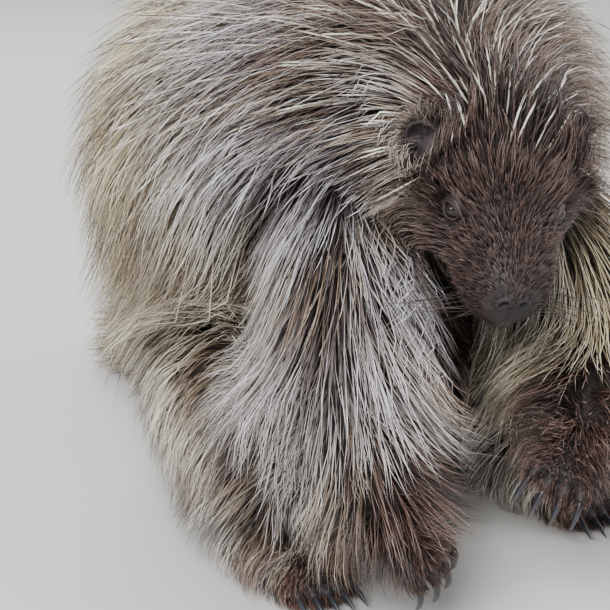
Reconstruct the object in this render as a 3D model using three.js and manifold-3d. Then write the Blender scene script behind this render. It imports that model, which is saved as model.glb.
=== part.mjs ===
// A North American porcupine that sits hunched on its haunches, its head bent down and turned a little to its
// right, and both forepaws held low before its chest as if round a piece of food.
// Millimetres, +Z up. The animal faces -Y, its left side is +X, and the origin is the middle of its seat.

import * as THREE from 'three';
import { LoftGeometry } from 'three/addons/geometries/LoftGeometry.js';
import { mergeVertices } from 'three/addons/utils/BufferGeometryUtils.js';
import Module from 'manifold-3d';

const wasm = await Module();
wasm.setup();
const { Manifold } = wasm;

// Space kept between nodes that touch.
const GAP = 0.35;

// How the head is set on the neck, in degrees, and where its back end is.
const HEAD_PITCH = 34;
const HEAD_YAW = -20;
const HEAD_ROLL = 5;
const HEAD_BASE = new THREE.Vector3(-2, -176, 280);

// Places on the head, from its back end, for a head that faces -Y and lies level.
const EYE_RADIUS = 6.3;
const EYE_FORWARD = 60;
const EYE_OUT = 28.5;
const EYE_UP = 12;
const LID_THICKNESS = 1.5;
const LID_RING = 0.95 * EYE_RADIUS;
const LID_OUT = 3;
const LID_AHEAD = 1.5;
const LID_TURN = 62;
const LID_SQUASH = 0.82;
const EAR_FORWARD = 20;
const EAR_OUT = 43;
const EAR_UP = 25;
const EAR_HALF = [13, 5.5, 15];
const EAR_CUP = [9.5, 5, 11.5];
const EAR_CUP_FORWARD = 4.5;
const EAR_CUP_UP = 1;
const EAR_TURN = 38;
const NOSE_CENTRE = [0, -110, -3];
const NOSE_HALF = [9.5, 6, 7.5];
const NOSTRIL_CENTRE = [5, -115.5, -4];
const NOSTRIL_HALF = [1.9, 4.5, 3];
const NOSTRIL_TURN = [-25, -20];

// The mouth, as shares of the head's length from its back end and degrees round from under the chin.
const MOUTH_POINTS = 7;
const MOUTH_FRONT = 0.93;
const MOUTH_DEPTH = 0.3;
const MOUTH_CURVE = 1.4;
const MOUTH_SPREAD = 44;
const MOUTH_GROOVE = 1.3;
const LIP_RADIUS = 2.2;
const LIP_SPREAD = 8;
const LIP_STEP = 0.03;

// Digits of the paws, and claws measured along their curve.
const FORE_DIGITS = 4;
const HIND_DIGITS = 5;
const DIGIT_RADIUS = 5;
const FORE_CLAW = 21;
const HIND_CLAW = 18;
const CLAW_RADIUS = 2.8;
const DIGIT_STEPS = 2;
const CLAW_STEPS = 3;
const DIGIT_SET_BACK = 5;
const OUTER_DIGIT_SET_BACK = 4;
const DIGIT_SHAPE = [1, 1, 0.76];
const CLAW_SHAPE = [0.95, 0.66, 0.16];

// The coat. A solid core reaches this share of its depth, and locks and quills rise from it to the tips.
const CORE = 0.42;
const SINK = 9;
const LOCK_FLATNESS = 0.2;
const LOCK_SHAPE = [0.75, 1, 0.72, 0.1];
const LOCK_SWAY = 16;
const LOCK_SHIFT = 0.03;
const LOCK_LENGTHS = [0.85, 1.15];
const LOCK_TIPS = [0.9, 1.12];
const LOCK_RISE = 0.85;
const QUILL_WIDTH = 2.4;
const QUILL_SHAPE = [1, 0.35];
const QUILL_SWAY = 10;
const QUILL_LENGTHS = [0.8, 1.2];
const QUILL_TIPS = [0.85, 1.15];
const OTHER_FLESH_CLEARANCE = 9;
const EAR_CLEARANCE = 17;
const FLOOR_CLEARANCE = 5;
const MOST_BEND = 42;
const MOST_TWIST = 40;
const LEAST_STEP = 0.4;

const X_AXIS = new THREE.Vector3(1, 0, 0);
const Z_AXIS = new THREE.Vector3(0, 0, 1);
const degrees = THREE.MathUtils.degToRad;
const mix = THREE.MathUtils.lerp;

const headPlace = new THREE.Matrix4()
  .makeRotationFromEuler(new THREE.Euler(degrees(HEAD_PITCH), degrees(HEAD_ROLL), degrees(HEAD_YAW), 'ZYX'))
  .setPosition(HEAD_BASE);

// A closed three.js geometry as a solid, placed in the world.
function solidOf(geometry, placed = null) {
  const bare = new THREE.BufferGeometry().setAttribute('position', geometry.getAttribute('position').clone());
  bare.setIndex(geometry.getIndex());
  if (placed) bare.applyMatrix4(placed);
  const merged = mergeVertices(bare, 1e-4);
  return new Manifold(new wasm.Mesh({
    numProp: 3,
    vertProperties: merged.attributes.position.array,
    triVerts: new Uint32Array(merged.index.array),
  }));
}

const curveThrough = (spots) => new THREE.CatmullRomCurve3(spots.map((spot) => new THREE.Vector3(...spot)));

// A stretch of the body: a loft along a smooth path, oval in section, that is `over` high on its back or
// upper side and `under` on the other, with a coat of hair round it. Rows are
// [x, y, z, half width, over, under, depth of coat]. `belly` is how deep the coat is on the under side, as a
// share, and `across` is a direction that the path never follows.
class Flesh {
  constructor(rows, { across = X_AXIS, sides = 14, rings = 2, belly = 1, placed = null } = {}) {
    this.sides = sides;
    this.count = (rows.length - 1) * rings + 1;
    this.across = across;
    this.belly = belly;
    this.placed = placed;
    this.path = curveThrough(rows.map((row) => row.slice(0, 3)));
    this.sizes = curveThrough(rows.map((row) => row.slice(3, 6)));
    this.coats = curveThrough(rows.map((row) => [row[6] ?? 0, 0, 0]));
    this.length = this.path.getLength();
  }

  // The centre, directions and half sizes of the section at t, from 0 to 1, and straight on beyond its ends.
  section(t) {
    const held = THREE.MathUtils.clamp(t, 0, 1);
    const along = this.path.getTangent(held);
    const centre = this.path.getPoint(held).addScaledVector(along, (t - held) * this.length);
    const side = this.across.clone().addScaledVector(along, -this.across.dot(along)).normalize();
    const up = along.clone().cross(side);
    return { centre, along, side, up, size: this.sizes.getPoint(held), coat: this.coats.getPoint(held).x };
  }

  // How deep the coat is at an angle round the path, where 90 degrees is the back or upper side.
  thinning(round) {
    const height = Math.sin(degrees(round));
    return height > 0 ? 1 : 1 + height * (1 - this.belly);
  }

  // The point at t and an angle round the path, `share` of the way from the skin to the tips of the coat and
  // `grow` beyond.
  point(t, round, share = 0, grow = 0) {
    const { centre, side, up, size, coat } = this.section(t);
    const angle = degrees(round);
    const high = Math.sin(angle) > 0 ? size.y : size.z;
    const out = share * coat * this.thinning(round) + grow;
    return centre
      .addScaledVector(side, Math.cos(angle) * (size.x + out))
      .addScaledVector(up, Math.sin(angle) * (high + out));
  }

  // The same in the world.
  place(t, round, share) {
    const spot = this.point(t, round, share);
    return this.placed ? spot.applyMatrix4(this.placed) : spot;
  }

  solid(share = 0, grow = 0) {
    const sections = [];
    for (let i = 0; i < this.count; i++) {
      const t = i / (this.count - 1);
      const ring = [];
      for (let j = 0; j < this.sides; j++) ring.push(this.point(t, (360 * j) / this.sides, share, grow));
      if (i === 0 || i === this.count - 1) {
        const out = this.section(t).along.multiplyScalar(i === 0 ? -grow : grow);
        ring.forEach((p) => p.add(out));
      }
      sections.push(ring);
    }
    return solidOf(new LoftGeometry(sections, { capStart: true, capEnd: true }), this.placed);
  }

  // About how far a point in the world is outside the core of the coat, and the way out.
  outside(spot) {
    const local = this.placed ? spot.clone().applyMatrix4(this.placed.clone().invert()) : spot;
    this.stations ??= Array.from({ length: 25 }, (_, i) => this.section(i / 24));
    let best = null;
    for (const { centre, along, side, up, size, coat } of this.stations) {
      const away = local.clone().sub(centre);
      const x = away.dot(side);
      const y = away.dot(up);
      const flat = Math.hypot(x, y);
      const round = THREE.MathUtils.radToDeg(Math.atan2(y, x));
      const out = CORE * coat * this.thinning(round);
      const reach = 1 / Math.hypot(x / flat / (size.x + out), y / flat / ((y > 0 ? size.y : size.z) + out));
      const past = Math.abs(away.dot(along));
      const gap = Math.hypot(Math.max(flat - reach, 0), past) + Math.min(flat - reach, 0);
      if (best && gap >= best.gap) continue;
      best = { gap, way: side.clone().multiplyScalar(x / flat).addScaledVector(up, y / flat) };
    }
    if (this.placed) best.way.transformDirection(this.placed);
    return best;
  }
}

// A ball stretched to three half sizes, turned and placed.
function ball(centre, half, { turn = new THREE.Euler(), grow = 0, placed = null, fine = 12 } = {}) {
  const place = new THREE.Matrix4().compose(
    new THREE.Vector3(...centre),
    new THREE.Quaternion().setFromEuler(turn),
    new THREE.Vector3(...half.map((h) => h + grow)),
  );
  if (placed) place.premultiply(placed);
  return solidOf(new THREE.SphereGeometry(1, fine, Math.round(fine * 0.7)), place);
}

// Rows that lie on the animal's left, mirrored to its right.
const mirrored = (rows) => rows.map(([x, ...rest]) => [-x, ...rest]);

// Numbers from 0 to 1 that look random but are the same each time.
function randomFrom(seed) {
  let state = seed;
  return () => {
    state = (state + 0x6d2b79f5) | 0;
    let mixed = Math.imul(state ^ (state >>> 15), 1 | state);
    mixed = (mixed + Math.imul(mixed ^ (mixed >>> 7), 61 | mixed)) ^ mixed;
    return ((mixed ^ (mixed >>> 14)) >>> 0) / 4294967296;
  };
}

// The section of a lock or quill, a low triangle with its ridge up, set back from each corner so that every
// edge moves out by `grow`.
function sectionOf(halfWidth, height, grow) {
  const base = -height * 0.4;
  const corners = [[0, base + height], [-halfWidth, base], [halfWidth, base]]
    .map((spot) => new THREE.Vector2(...spot));
  return corners.map((corner, i) => {
    const [before, after] = [corners[(i + 2) % 3], corners[(i + 1) % 3]];
    const one = corner.clone().sub(before).normalize();
    const two = after.clone().sub(corner).normalize();
    const normals = new THREE.Vector2(one.y + two.y, -one.x - two.x);
    return corner.clone().addScaledVector(normals, grow / (1 + one.dot(two)));
  });
}

// A tapered blade along a list of points, as a function of how far it is grown. `outwards` is the direction
// that its ridge looks at each point, and `shape` its width there as a share of the widest.
function blade(points, outwards, shape, width, flatness) {
  return (grow) => {
    const last = points.length - 1;
    const sections = points.map((centre, i) => {
      const along = points[Math.min(i + 1, last)].clone().sub(points[Math.max(i - 1, 0)]).normalize();
      const up = outwards[i].clone().addScaledVector(along, -outwards[i].dot(along)).normalize();
      const side = up.clone().cross(along);
      const wide = width * shape[i];
      const push = { 0: -grow, [last]: grow }[i] ?? 0;
      return sectionOf(wide / 2, wide * flatness, grow).map((corner) => centre.clone()
        .addScaledVector(along, push)
        .addScaledVector(side, corner.x)
        .addScaledVector(up, corner.y));
    });
    return solidOf(new LoftGeometry(sections, { capStart: true, capEnd: true }));
  };
}

const torso = new Flesh([
  [0, 8, -6, 40, 34, 38, 16],
  [0, 10, 24, 80, 74, 80, 30],
  [0, 14, 72, 94, 90, 98, 38],
  [0, 16, 128, 100, 98, 104, 42],
  [0, 12, 186, 106, 106, 108, 50],
  [0, -10, 240, 117, 104, 100, 68],
  [0, -56, 274, 118, 86, 80, 80],
  [0, -104, 288, 90, 68, 62, 72],
  [0, -138, 288, 56, 50, 48, 46],
], { sides: 20, belly: 0.35 });

const neck = new Flesh([
  [0, -118, 278, 58, 54, 50, 40],
  [-3, -148, 284, 50, 48, 46, 42],
  [-7, -172, 283, 44, 42, 42, 34],
  [-11, -193, 281, 30, 28, 30, 14],
], { belly: 0.4 });

const head = new Flesh([
  [0, 14, 2, 30, 27, 30, 36],
  [0, -6, 2, 40, 36, 38, 34],
  [0, -26, 2, 44, 38, 40, 24],
  [0, -46, 0, 41, 35, 37, 9],
  [0, -64, -3, 33, 30, 33, 1],
  [0, -82, -6, 28, 26, 29, 0],
  [0, -98, -8, 25, 23, 26, 0],
  [0, -109, -9, 20, 18, 21, 0],
  [0, -114, -9, 12, 11, 13, 0],
], { sides: 20, belly: 0.4, placed: headPlace });

const tail = new Flesh([
  [0, 60, 52, 46, 44, 48, 22],
  [-2, 114, 41, 39, 35, 41, 32],
  [-10, 170, 31, 31, 28, 31, 36],
  [-24, 224, 24, 22, 20, 24, 34],
  [-38, 264, 18, 11, 11, 17, 22],
], { across: new THREE.Vector3(-1, 0, 0), belly: 0.4 });

const THIGH = [
  [72, 4, 84, 40, 50, 48, 18],
  [92, -34, 88, 42, 52, 50, 26],
  [102, -78, 88, 36, 46, 42, 30],
  [104, -116, 82, 27, 33, 32, 28],
  [103, -144, 72, 16, 19, 19, 18],
];
const SHANK = [
  [102, -128, 90, 20, 19, 23, 6],
  [103, -130, 66, 20, 19, 22, 14],
  [103, -114, 46, 17, 17, 19, 16],
  [103, -94, 24, 14, 14, 15, 14],
];
const HIND_FOOT = [
  [103, -80, 17, 14, 13, 20],
  [104, -108, 16, 17, 14, 20],
  [106, -142, 14, 20, 12, 20],
  [107, -168, 11, 21, 9, 16],
];

// Where each arm bends: shoulder, elbow, wrist and the knuckles of the paw.
const ARMS = {
  left: {
    shoulder: [68, -122, 232], elbow: [88, -186, 140], wrist: [34, -236, 106], paw: [2, -258, 94],
  },
  right: {
    shoulder: [-68, -122, 232], elbow: [-100, -180, 132], wrist: [-90, -218, 72], paw: [-75, -239, 53],
  },
};

const between = (a, b, share) => a.map((v, i) => mix(v, b[i], share));

const upperArm = ({ shoulder, elbow }) => [
  [...between(shoulder, elbow, -0.28), 26, 28, 28, 10],
  [...between(shoulder, elbow, 0.3), 31, 35, 34, 32],
  [...between(shoulder, elbow, 0.7), 26, 29, 28, 32],
  [...between(shoulder, elbow, 1.1), 16, 17, 17, 22],
];

const forearm = ({ elbow, wrist }) => [
  [...between(elbow, wrist, -0.12), 18, 18, 19, 14],
  [...between(elbow, wrist, 0.3), 20, 21, 20, 24],
  [...between(elbow, wrist, 0.7), 16, 16, 15, 24],
  [...between(elbow, wrist, 1.05), 11, 11, 11, 14],
];

const forepaw = ({ wrist, paw }) => [
  [...between(wrist, paw, -0.1), 12, 11, 11],
  [...between(wrist, paw, 0.4), 15, 10, 10],
  [...between(wrist, paw, 1), 17, 9, 9],
];

// The pieces of the body that locks of another piece keep clear of, by the name of their node.
const bodies = { torso, neck, head, tail };
for (const [name, arm] of Object.entries(ARMS)) {
  const turned = name === 'left' ? (rows) => rows : mirrored;
  bodies[`thigh_${name}`] = new Flesh(turned(THIGH));
  bodies[`shank_${name}`] = new Flesh(turned(SHANK));
  bodies[`hind_foot_${name}`] = new Flesh(turned(HIND_FOOT), { rings: 1 });
  bodies[`upper_arm_${name}`] = new Flesh(upperArm(arm));
  bodies[`forearm_${name}`] = new Flesh(forearm(arm));
  bodies[`forepaw_${name}`] = new Flesh(forepaw(arm), { sides: 12, rings: 1 });
}

const earCentre = (side) => new THREE.Vector3(side * EAR_OUT, -EAR_FORWARD, EAR_UP);
const EARS = [-1, 1].map((side) => earCentre(side).applyMatrix4(headPlace));

// Whether a list of points bends and turns only gently, with no step much shorter than another.
function smooth(points, outwards) {
  const steps = points.slice(1).map((spot, i) => spot.clone().sub(points[i]));
  const lengths = steps.map((step) => step.length());
  const bends = steps.slice(1).map((step, i) => step.angleTo(steps[i]));
  const twists = outwards.slice(1).map((way, i) => way.angleTo(outwards[i]));
  return Math.min(...lengths) > LEAST_STEP * Math.max(...lengths)
    && bends.every((bend) => bend < degrees(MOST_BEND))
    && twists.every((twist) => twist < degrees(MOST_TWIST));
}

// Keeps a point of a lock off the floor and out of every other piece of the body.
function kept(spot, own, clearance) {
  for (const [name, flesh] of Object.entries(bodies)) {
    if (name === own) continue;
    const { gap, way } = flesh.outside(spot);
    if (gap < clearance) spot.addScaledVector(way, clearance - gap);
  }
  spot.z = Math.max(spot.z, FLOOR_CLEARANCE);
  return spot;
}

// One lock or quill of the piece `own`, rooted at t and an angle round it, that runs `length` back along the
// piece (or forward, where `lie` is 1) while it rises from the core to `tip` times the coat's depth.
// Returns nothing where its root is inside another piece.
function hair(own, { t, round, length, width, lie, sway, tip, droop = 0, shape, flatness, clearance }) {
  const flesh = bodies[own];
  const root = flesh.place(t, round, CORE);
  for (const [name, other] of Object.entries(bodies)) {
    if (name !== own && other.outside(root).gap < 1) return null;
  }
  const reach = (lie * length) / flesh.length;
  const last = shape.length - 1;
  const points = [];
  const outwards = [];
  for (let i = 0; i <= last; i++) {
    const s = i / last;
    const angle = round + sway * s * s;
    const share = mix(CORE, tip, s ** LOCK_RISE);
    const spot = flesh.place(t + reach * s, angle, share);
    const out = flesh.place(t + reach * s, angle, share + 1).sub(spot).normalize();
    spot.z -= droop * length * s * s;
    if (i === 0) spot.addScaledVector(out, -SINK);
    else kept(spot, own, clearance);
    points.push(spot);
    outwards.push(out);
  }
  const overEar = points.some((spot) => EARS.some((ear) => ear.distanceTo(spot) < EAR_CLEARANCE));
  return smooth(points, outwards) && !overEar ? blade(points, outwards, shape, width, flatness) : null;
}

// Tiers of locks over a stretch of a piece, like shingles: from one end of `ts` to the other, between the
// two angles of `rounds`, with the locks of each tier about `spacing` apart and half a step beside the last.
function tiers(own, seed, style) {
  const { ts, tierCount, rounds = [0, 360], spacing, length, width, lie } = style;
  const { tip = 1, droop = 0, bellyLength = 0.6 } = style;
  const random = randomFrom(seed);
  const flesh = bodies[own];
  const made = [];
  for (let tier = 0; tier < tierCount; tier++) {
    const t = mix(ts[0], ts[1], tierCount > 1 ? tier / (tierCount - 1) : 0);
    const { size, coat } = flesh.section(t);
    const middle = (size.x + (size.y + size.z) / 2) / 2 + coat * CORE;
    const arc = degrees(rounds[1] - rounds[0]) * middle;
    const count = Math.max(3, Math.round(arc / spacing));
    for (let i = 0; i < count; i++) {
      const jitter = (random() - 0.5) * 0.5;
      const round = mix(rounds[0], rounds[1], (i + 0.25 + 0.5 * (tier % 2) + jitter * 0.5) / count);
      const under = Math.max(0, -Math.sin(degrees(round)));
      made.push(hair(own, {
        t: t + (random() - 0.5) * LOCK_SHIFT,
        round,
        length: length * mix(...LOCK_LENGTHS, random()) * mix(1, bellyLength, under),
        width: width * mix(...LOCK_LENGTHS, random()),
        lie,
        sway: (random() - 0.5) * LOCK_SWAY,
        tip: tip * mix(...LOCK_TIPS, random()),
        droop,
        shape: LOCK_SHAPE,
        flatness: LOCK_FLATNESS,
        clearance: OTHER_FLESH_CLEARANCE,
      }));
    }
  }
  return made.filter(Boolean);
}

// Quills scattered over a stretch of a piece, stiffer and more upright than the locks.
function quills(own, seed, { ts, rounds, count, length, lie, tip }) {
  const random = randomFrom(seed);
  const made = [];
  for (let i = 0; i < count; i++) {
    made.push(hair(own, {
      t: mix(ts[0], ts[1], (i + random()) / count),
      round: mix(rounds[0], rounds[1], random()),
      length: length * mix(...QUILL_LENGTHS, random()),
      width: QUILL_WIDTH,
      lie,
      sway: (random() - 0.5) * QUILL_SWAY,
      tip: tip * mix(...QUILL_TIPS, random()),
      shape: QUILL_SHAPE,
      flatness: 1,
      clearance: OTHER_FLESH_CLEARANCE,
    }));
  }
  return made.filter(Boolean);
}

// The locks of each piece of a limb.
const LEGS_COAT = {
  thigh: { ts: [0.12, 0.7], tierCount: 3, spacing: 46, length: 64, width: 43, lie: 1, droop: 0.35 },
  shank: { ts: [0.4, 0.6], tierCount: 1, spacing: 28, length: 42, width: 28, lie: 1 },
  upper_arm: { ts: [0.25, 0.8], tierCount: 3, spacing: 56, length: 76, width: 50, lie: 1 },
  forearm: {
    ts: [0.15, 0.65], tierCount: 2, spacing: 32, length: 60, width: 32, lie: 1, droop: 0.35, bellyLength: 1,
  },
};

// The locks and quills of each piece.
const growths = {
  torso: [
    ...tiers('torso', 11, { ts: [0.1, 0.7], tierCount: 4, spacing: 60, length: 120, width: 58, lie: -1 }),
    ...tiers('torso', 48, { ts: [0.86, 0.98], tierCount: 2, spacing: 60, length: 84, width: 58, lie: -1 }),
    ...quills('torso', 12, { ts: [0.3, 0.95], rounds: [20, 160], count: 28, length: 70, lie: -1, tip: 1.15 }),
  ],
  neck: tiers('neck', 30, {
    ts: [0.35, 0.75], tierCount: 2, spacing: 40, length: 70, width: 42, lie: -1, tip: 1.35,
  }),
  head: [
    ...tiers('head', 55, {
      ts: [0.06, 0.36], tierCount: 3, rounds: [-20, 200], spacing: 31,
      length: 56, width: 30, lie: -1, tip: 1.2,
    }),
    ...quills('head', 15, { ts: [0.05, 0.45], rounds: [20, 160], count: 15, length: 36, lie: -1, tip: 1.7 }),
  ],
  tail: [
    ...tiers('tail', 16, { ts: [0.15, 0.88], tierCount: 3, spacing: 44, length: 66, width: 42, lie: 1 }),
    ...quills('tail', 17, { ts: [0.15, 0.95], rounds: [20, 160], count: 12, length: 40, lie: 1, tip: 1.1 }),
  ],
};
for (const [index, side] of ['left', 'right'].entries()) {
  for (const [piece, coat] of Object.entries(LEGS_COAT)) {
    growths[`${piece}_${side}`] = tiers(`${piece}_${side}`, 20 + index, coat);
  }
}

// A digit with its claw, from its root in the paw: it heads `ahead`, bends towards `down` as it goes, and the
// claw bends on further.
function digit(root, ahead, down, { digitLength, claw, bend, clawBend }) {
  const across = ahead.clone().cross(down).normalize();
  const spots = [root.clone()];
  const heading = ahead.clone().normalize();
  const steps = [
    ...Array(DIGIT_STEPS).fill([digitLength / DIGIT_STEPS, bend]),
    ...Array(CLAW_STEPS).fill([claw / CLAW_STEPS, clawBend]),
  ];
  for (const [step, turn] of steps) {
    spots.push(spots[spots.length - 1].clone().addScaledVector(heading, step));
    heading.applyAxisAngle(across, degrees(turn));
  }
  const radii = [
    ...DIGIT_SHAPE.map((share) => share * DIGIT_RADIUS),
    ...CLAW_SHAPE.map((share) => share * CLAW_RADIUS),
  ];
  const rows = spots.map((spot, i) => [...spot.toArray(), radii[i], radii[i], radii[i]]);
  const loft = new Flesh(rows, { across, sides: 6, rings: 1 });
  return (grow) => loft.solid(0, grow);
}

// The digits along the front edge of a paw.
function digits(flesh, count, { spread, down, digitLength, claw, bend, clawBend }) {
  const { centre, along, side, size } = flesh.section(1);
  const made = [];
  for (let i = 0; i < count; i++) {
    const place = mix(-1, 1, i / (count - 1));
    const root = centre.clone()
      .addScaledVector(side, place * (size.x - DIGIT_RADIUS))
      .addScaledVector(along, -DIGIT_SET_BACK - OUTER_DIGIT_SET_BACK * place * place);
    const ahead = along.clone().addScaledVector(side, place * spread).normalize();
    made.push(digit(root, ahead, down, { digitLength, claw, bend, clawBend }));
  }
  return (grow) => made.map((one) => one(grow));
}

// Lids, nose and mouth, for a head that faces -Y and lies level.
function face(grow) {
  const added = [];
  for (const side of [-1, 1]) {
    const lids = new THREE.TorusGeometry(LID_RING, LID_THICKNESS + grow, 5, 12);
    const place = new THREE.Matrix4()
      .makeRotationFromEuler(new THREE.Euler(0, side * degrees(LID_TURN), 0))
      .scale(new THREE.Vector3(1, LID_SQUASH, 1))
      .premultiply(new THREE.Matrix4().makeRotationX(degrees(90)))
      .setPosition(side * (EYE_OUT + LID_OUT), -EYE_FORWARD - LID_AHEAD, EYE_UP);
    added.push(solidOf(lids, place.premultiply(headPlace)));
  }
  added.push(ball(NOSE_CENTRE, NOSE_HALF, { grow, placed: headPlace, fine: 9 }));
  for (const lip of [-1, 1]) added.push(mouthLine(LIP_RADIUS + grow, lip));
  return added;
}

// A tube along the mouth, from the right corner round the front to the left one: the line where the lips
// meet, or the upper lip where `lip` is 1 and the lower one where it is -1.
function mouthLine(radius, lip) {
  const rows = [];
  for (let i = 0; i < MOUTH_POINTS; i++) {
    const u = mix(-1, 1, i / (MOUTH_POINTS - 1));
    const t = MOUTH_FRONT - MOUTH_DEPTH * Math.abs(u) ** MOUTH_CURVE + lip * LIP_STEP * (1 - Math.abs(u));
    const spot = head.point(t, -90 + u * (MOUTH_SPREAD + lip * LIP_SPREAD));
    rows.push([...spot.toArray(), radius, radius, radius]);
  }
  return new Flesh(rows, { across: Z_AXIS, sides: 5, rings: 1, placed: headPlace }).solid();
}

function faceRecesses() {
  const nostrils = [-1, 1].map((side) => {
    const [out, ...rest] = NOSTRIL_CENTRE;
    const turn = new THREE.Euler(0, ...NOSTRIL_TURN.map((angle) => side * degrees(angle)));
    return ball([side * out, ...rest], NOSTRIL_HALF, { turn, placed: headPlace, fine: 6 });
  });
  return [...nostrils, mouthLine(MOUTH_GROOVE, 0)];
}

function ear(side, grow) {
  const turn = new THREE.Euler(0, 0, side * degrees(EAR_TURN));
  const centre = earCentre(side);
  const shell = ball(centre.toArray(), EAR_HALF, { turn, grow, placed: headPlace, fine: 10 });
  if (grow) return shell;
  const cup = new THREE.Vector3(0, -EAR_CUP_FORWARD, EAR_CUP_UP).applyEuler(turn).add(centre);
  return shell.subtract(ball(cup.toArray(), EAR_CUP, { turn, placed: headPlace, fine: 10 }));
}

// Everything that a piece of the body is joined from, with its locks and quills.
function joined(name, grow, extras = () => []) {
  const hairs = (growths[name] ?? []).map((make) => make(grow));
  return Manifold.union([bodies[name].solid(CORE, grow), ...hairs, ...extras(grow)]);
}

const CLAW_STYLES = {
  fore: { spread: 0.3, digitLength: 15, claw: FORE_CLAW, bend: 22, clawBend: 20 },
  hind: { spread: 0.16, digitLength: 15, claw: HIND_CLAW, bend: 4, clawBend: 8 },
};
const DOWN = new THREE.Vector3(0, 0, -1);

// Nodes in the order in which they keep their shape: each is cut clear of those before it.
const plans = [];
for (const [name, side] of [['left', 1], ['right', -1]]) {
  const half = Array(3).fill(EYE_RADIUS);
  const make = (grow) => ball([side * EYE_OUT, -EYE_FORWARD, EYE_UP], half, { grow, placed: headPlace });
  plans.push({ name: `eye_${name}`, finish: 'eye', make });
}
plans.push({ name: 'ear_left', finish: 'ear', make: (grow) => ear(1, grow) });
plans.push({ name: 'ear_right', finish: 'ear', make: (grow) => ear(-1, grow) });
function planBody(name, finish, extras) {
  plans.push({ name, finish, make: (grow) => joined(name, grow, extras) });
}
planBody('head', 'face', face);
plans[plans.length - 1].recesses = faceRecesses;
for (const name of ['torso', 'neck', 'tail']) planBody(name, 'coat');
for (const side of ['left', 'right']) {
  const hind = digits(bodies[`hind_foot_${side}`], HIND_DIGITS, { down: DOWN, ...CLAW_STYLES.hind });
  const paw = bodies[`forepaw_${side}`];
  const fore = digits(paw, FORE_DIGITS, { down: paw.section(1).up.negate(), ...CLAW_STYLES.fore });
  for (const piece of ['thigh', 'shank']) planBody(`${piece}_${side}`, 'coat');
  planBody(`hind_foot_${side}`, 'paw', hind);
  for (const piece of ['upper_arm', 'forearm']) planBody(`${piece}_${side}`, 'coat');
  planBody(`forepaw_${side}`, 'paw', fore);
}

const finishes = {
  coat: { color: 0x8a7f74, roughness: 0.9 },
  face: { color: 0x4a3a33, roughness: 0.9 },
  ear: { color: 0x2e2725, roughness: 0.9 },
  paw: { color: 0x26242a, roughness: 0.75 },
  eye: { color: 0x0a0908, roughness: 0.08 },
};

// The largest closed surface of a solid, which fills sealed hollows and drops loose scraps.
function largest(solid) {
  return solid.decompose().reduce((a, b) => (b.volume() > a.volume() ? b : a));
}

// Whether the boxes round two solids meet.
function near(a, b) {
  const one = a.boundingBox();
  const two = b.boundingBox();
  return [0, 1, 2].every((i) => one.min[i] < two.max[i] && two.min[i] < one.max[i]);
}

const FLOOR_DEPTH = 200;
const floorBlock = solidOf(
  new THREE.BoxGeometry(2000, 2000, FLOOR_DEPTH),
  new THREE.Matrix4().makeTranslation(0, 0, -FLOOR_DEPTH / 2),
);

const porcupine = new THREE.Group();
const taken = [];
for (const { name, finish, make, recesses } of plans) {
  let solid = make(0).subtract(floorBlock);
  if (recesses) solid = solid.subtract(Manifold.union(recesses()));
  const inTheWay = taken.filter((earlier) => near(earlier, solid));
  if (inTheWay.length) solid = solid.subtract(Manifold.union(inTheWay));
  solid = largest(solid);
  taken.push(make(GAP));
  const made = solid.getMesh();
  const geometry = new THREE.BufferGeometry()
    .setAttribute('position', new THREE.BufferAttribute(new Float32Array(made.vertProperties), 3))
    .setIndex(new THREE.BufferAttribute(new Uint32Array(made.triVerts), 1));
  geometry.computeVertexNormals();
  const material = new THREE.MeshStandardMaterial({ metalness: 0, ...finishes[finish] });
  const mesh = new THREE.Mesh(geometry, material);
  mesh.name = name;
  porcupine.add(mesh);
}

export default porcupine;
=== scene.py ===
"""Dresses a life-size North American porcupine that sits hunched with its head bent down.

Metres and +Z up in the finished meshes; the body's own tables are in millimetres. The animal faces -Y and its
left side is +X. A skin is lofted and remeshed from the same sizes as the solids, and coats of solid hairs and
quills are traced outwards through a field that says where the hair lies at each place round the body.
"""

import logging
import math
from dataclasses import dataclass, field, fields, replace
from enum import Enum
from typing import Any, Callable, Iterable, Sequence

import bpy
import numpy as np
from mathutils import Euler, Matrix, Vector, noise
from mathutils.kdtree import KDTree


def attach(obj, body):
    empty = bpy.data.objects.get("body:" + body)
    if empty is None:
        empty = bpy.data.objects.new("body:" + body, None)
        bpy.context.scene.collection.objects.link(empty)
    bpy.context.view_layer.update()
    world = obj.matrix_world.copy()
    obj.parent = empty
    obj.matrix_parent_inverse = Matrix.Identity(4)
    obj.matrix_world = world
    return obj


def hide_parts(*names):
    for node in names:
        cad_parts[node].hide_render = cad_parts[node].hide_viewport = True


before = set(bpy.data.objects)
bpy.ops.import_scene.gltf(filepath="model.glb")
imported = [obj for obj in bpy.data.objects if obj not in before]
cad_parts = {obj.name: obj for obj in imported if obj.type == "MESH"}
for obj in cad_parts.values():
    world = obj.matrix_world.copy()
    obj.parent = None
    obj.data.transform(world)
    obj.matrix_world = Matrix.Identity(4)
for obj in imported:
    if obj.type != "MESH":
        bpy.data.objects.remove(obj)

MM = 0.001
LOG = logging.getLogger("porcupine")
BAKE_UV = "OFBake"
# The side of each hair's patch on the bake map, as a share of the map, and the share of it that stays free.
PATCH = 0.003
PATCH_EDGE = 0.1
MOST_TRIANGLES = 190_000
# How much the way out at a stretch's end looks sideways at its rim.
END_ROUNDING = 4.0
# How far above the floor the skin and the lowest hairs stop, in millimetres.
SKIN_FLOOR = 0.4
HAIR_FLOOR = 1.2

Row = tuple[float, ...]
Array = np.ndarray
Form = tuple[Array, Sequence[Sequence[int]]]
DOWN = np.array((0.0, 0.0, -1.0))


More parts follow.
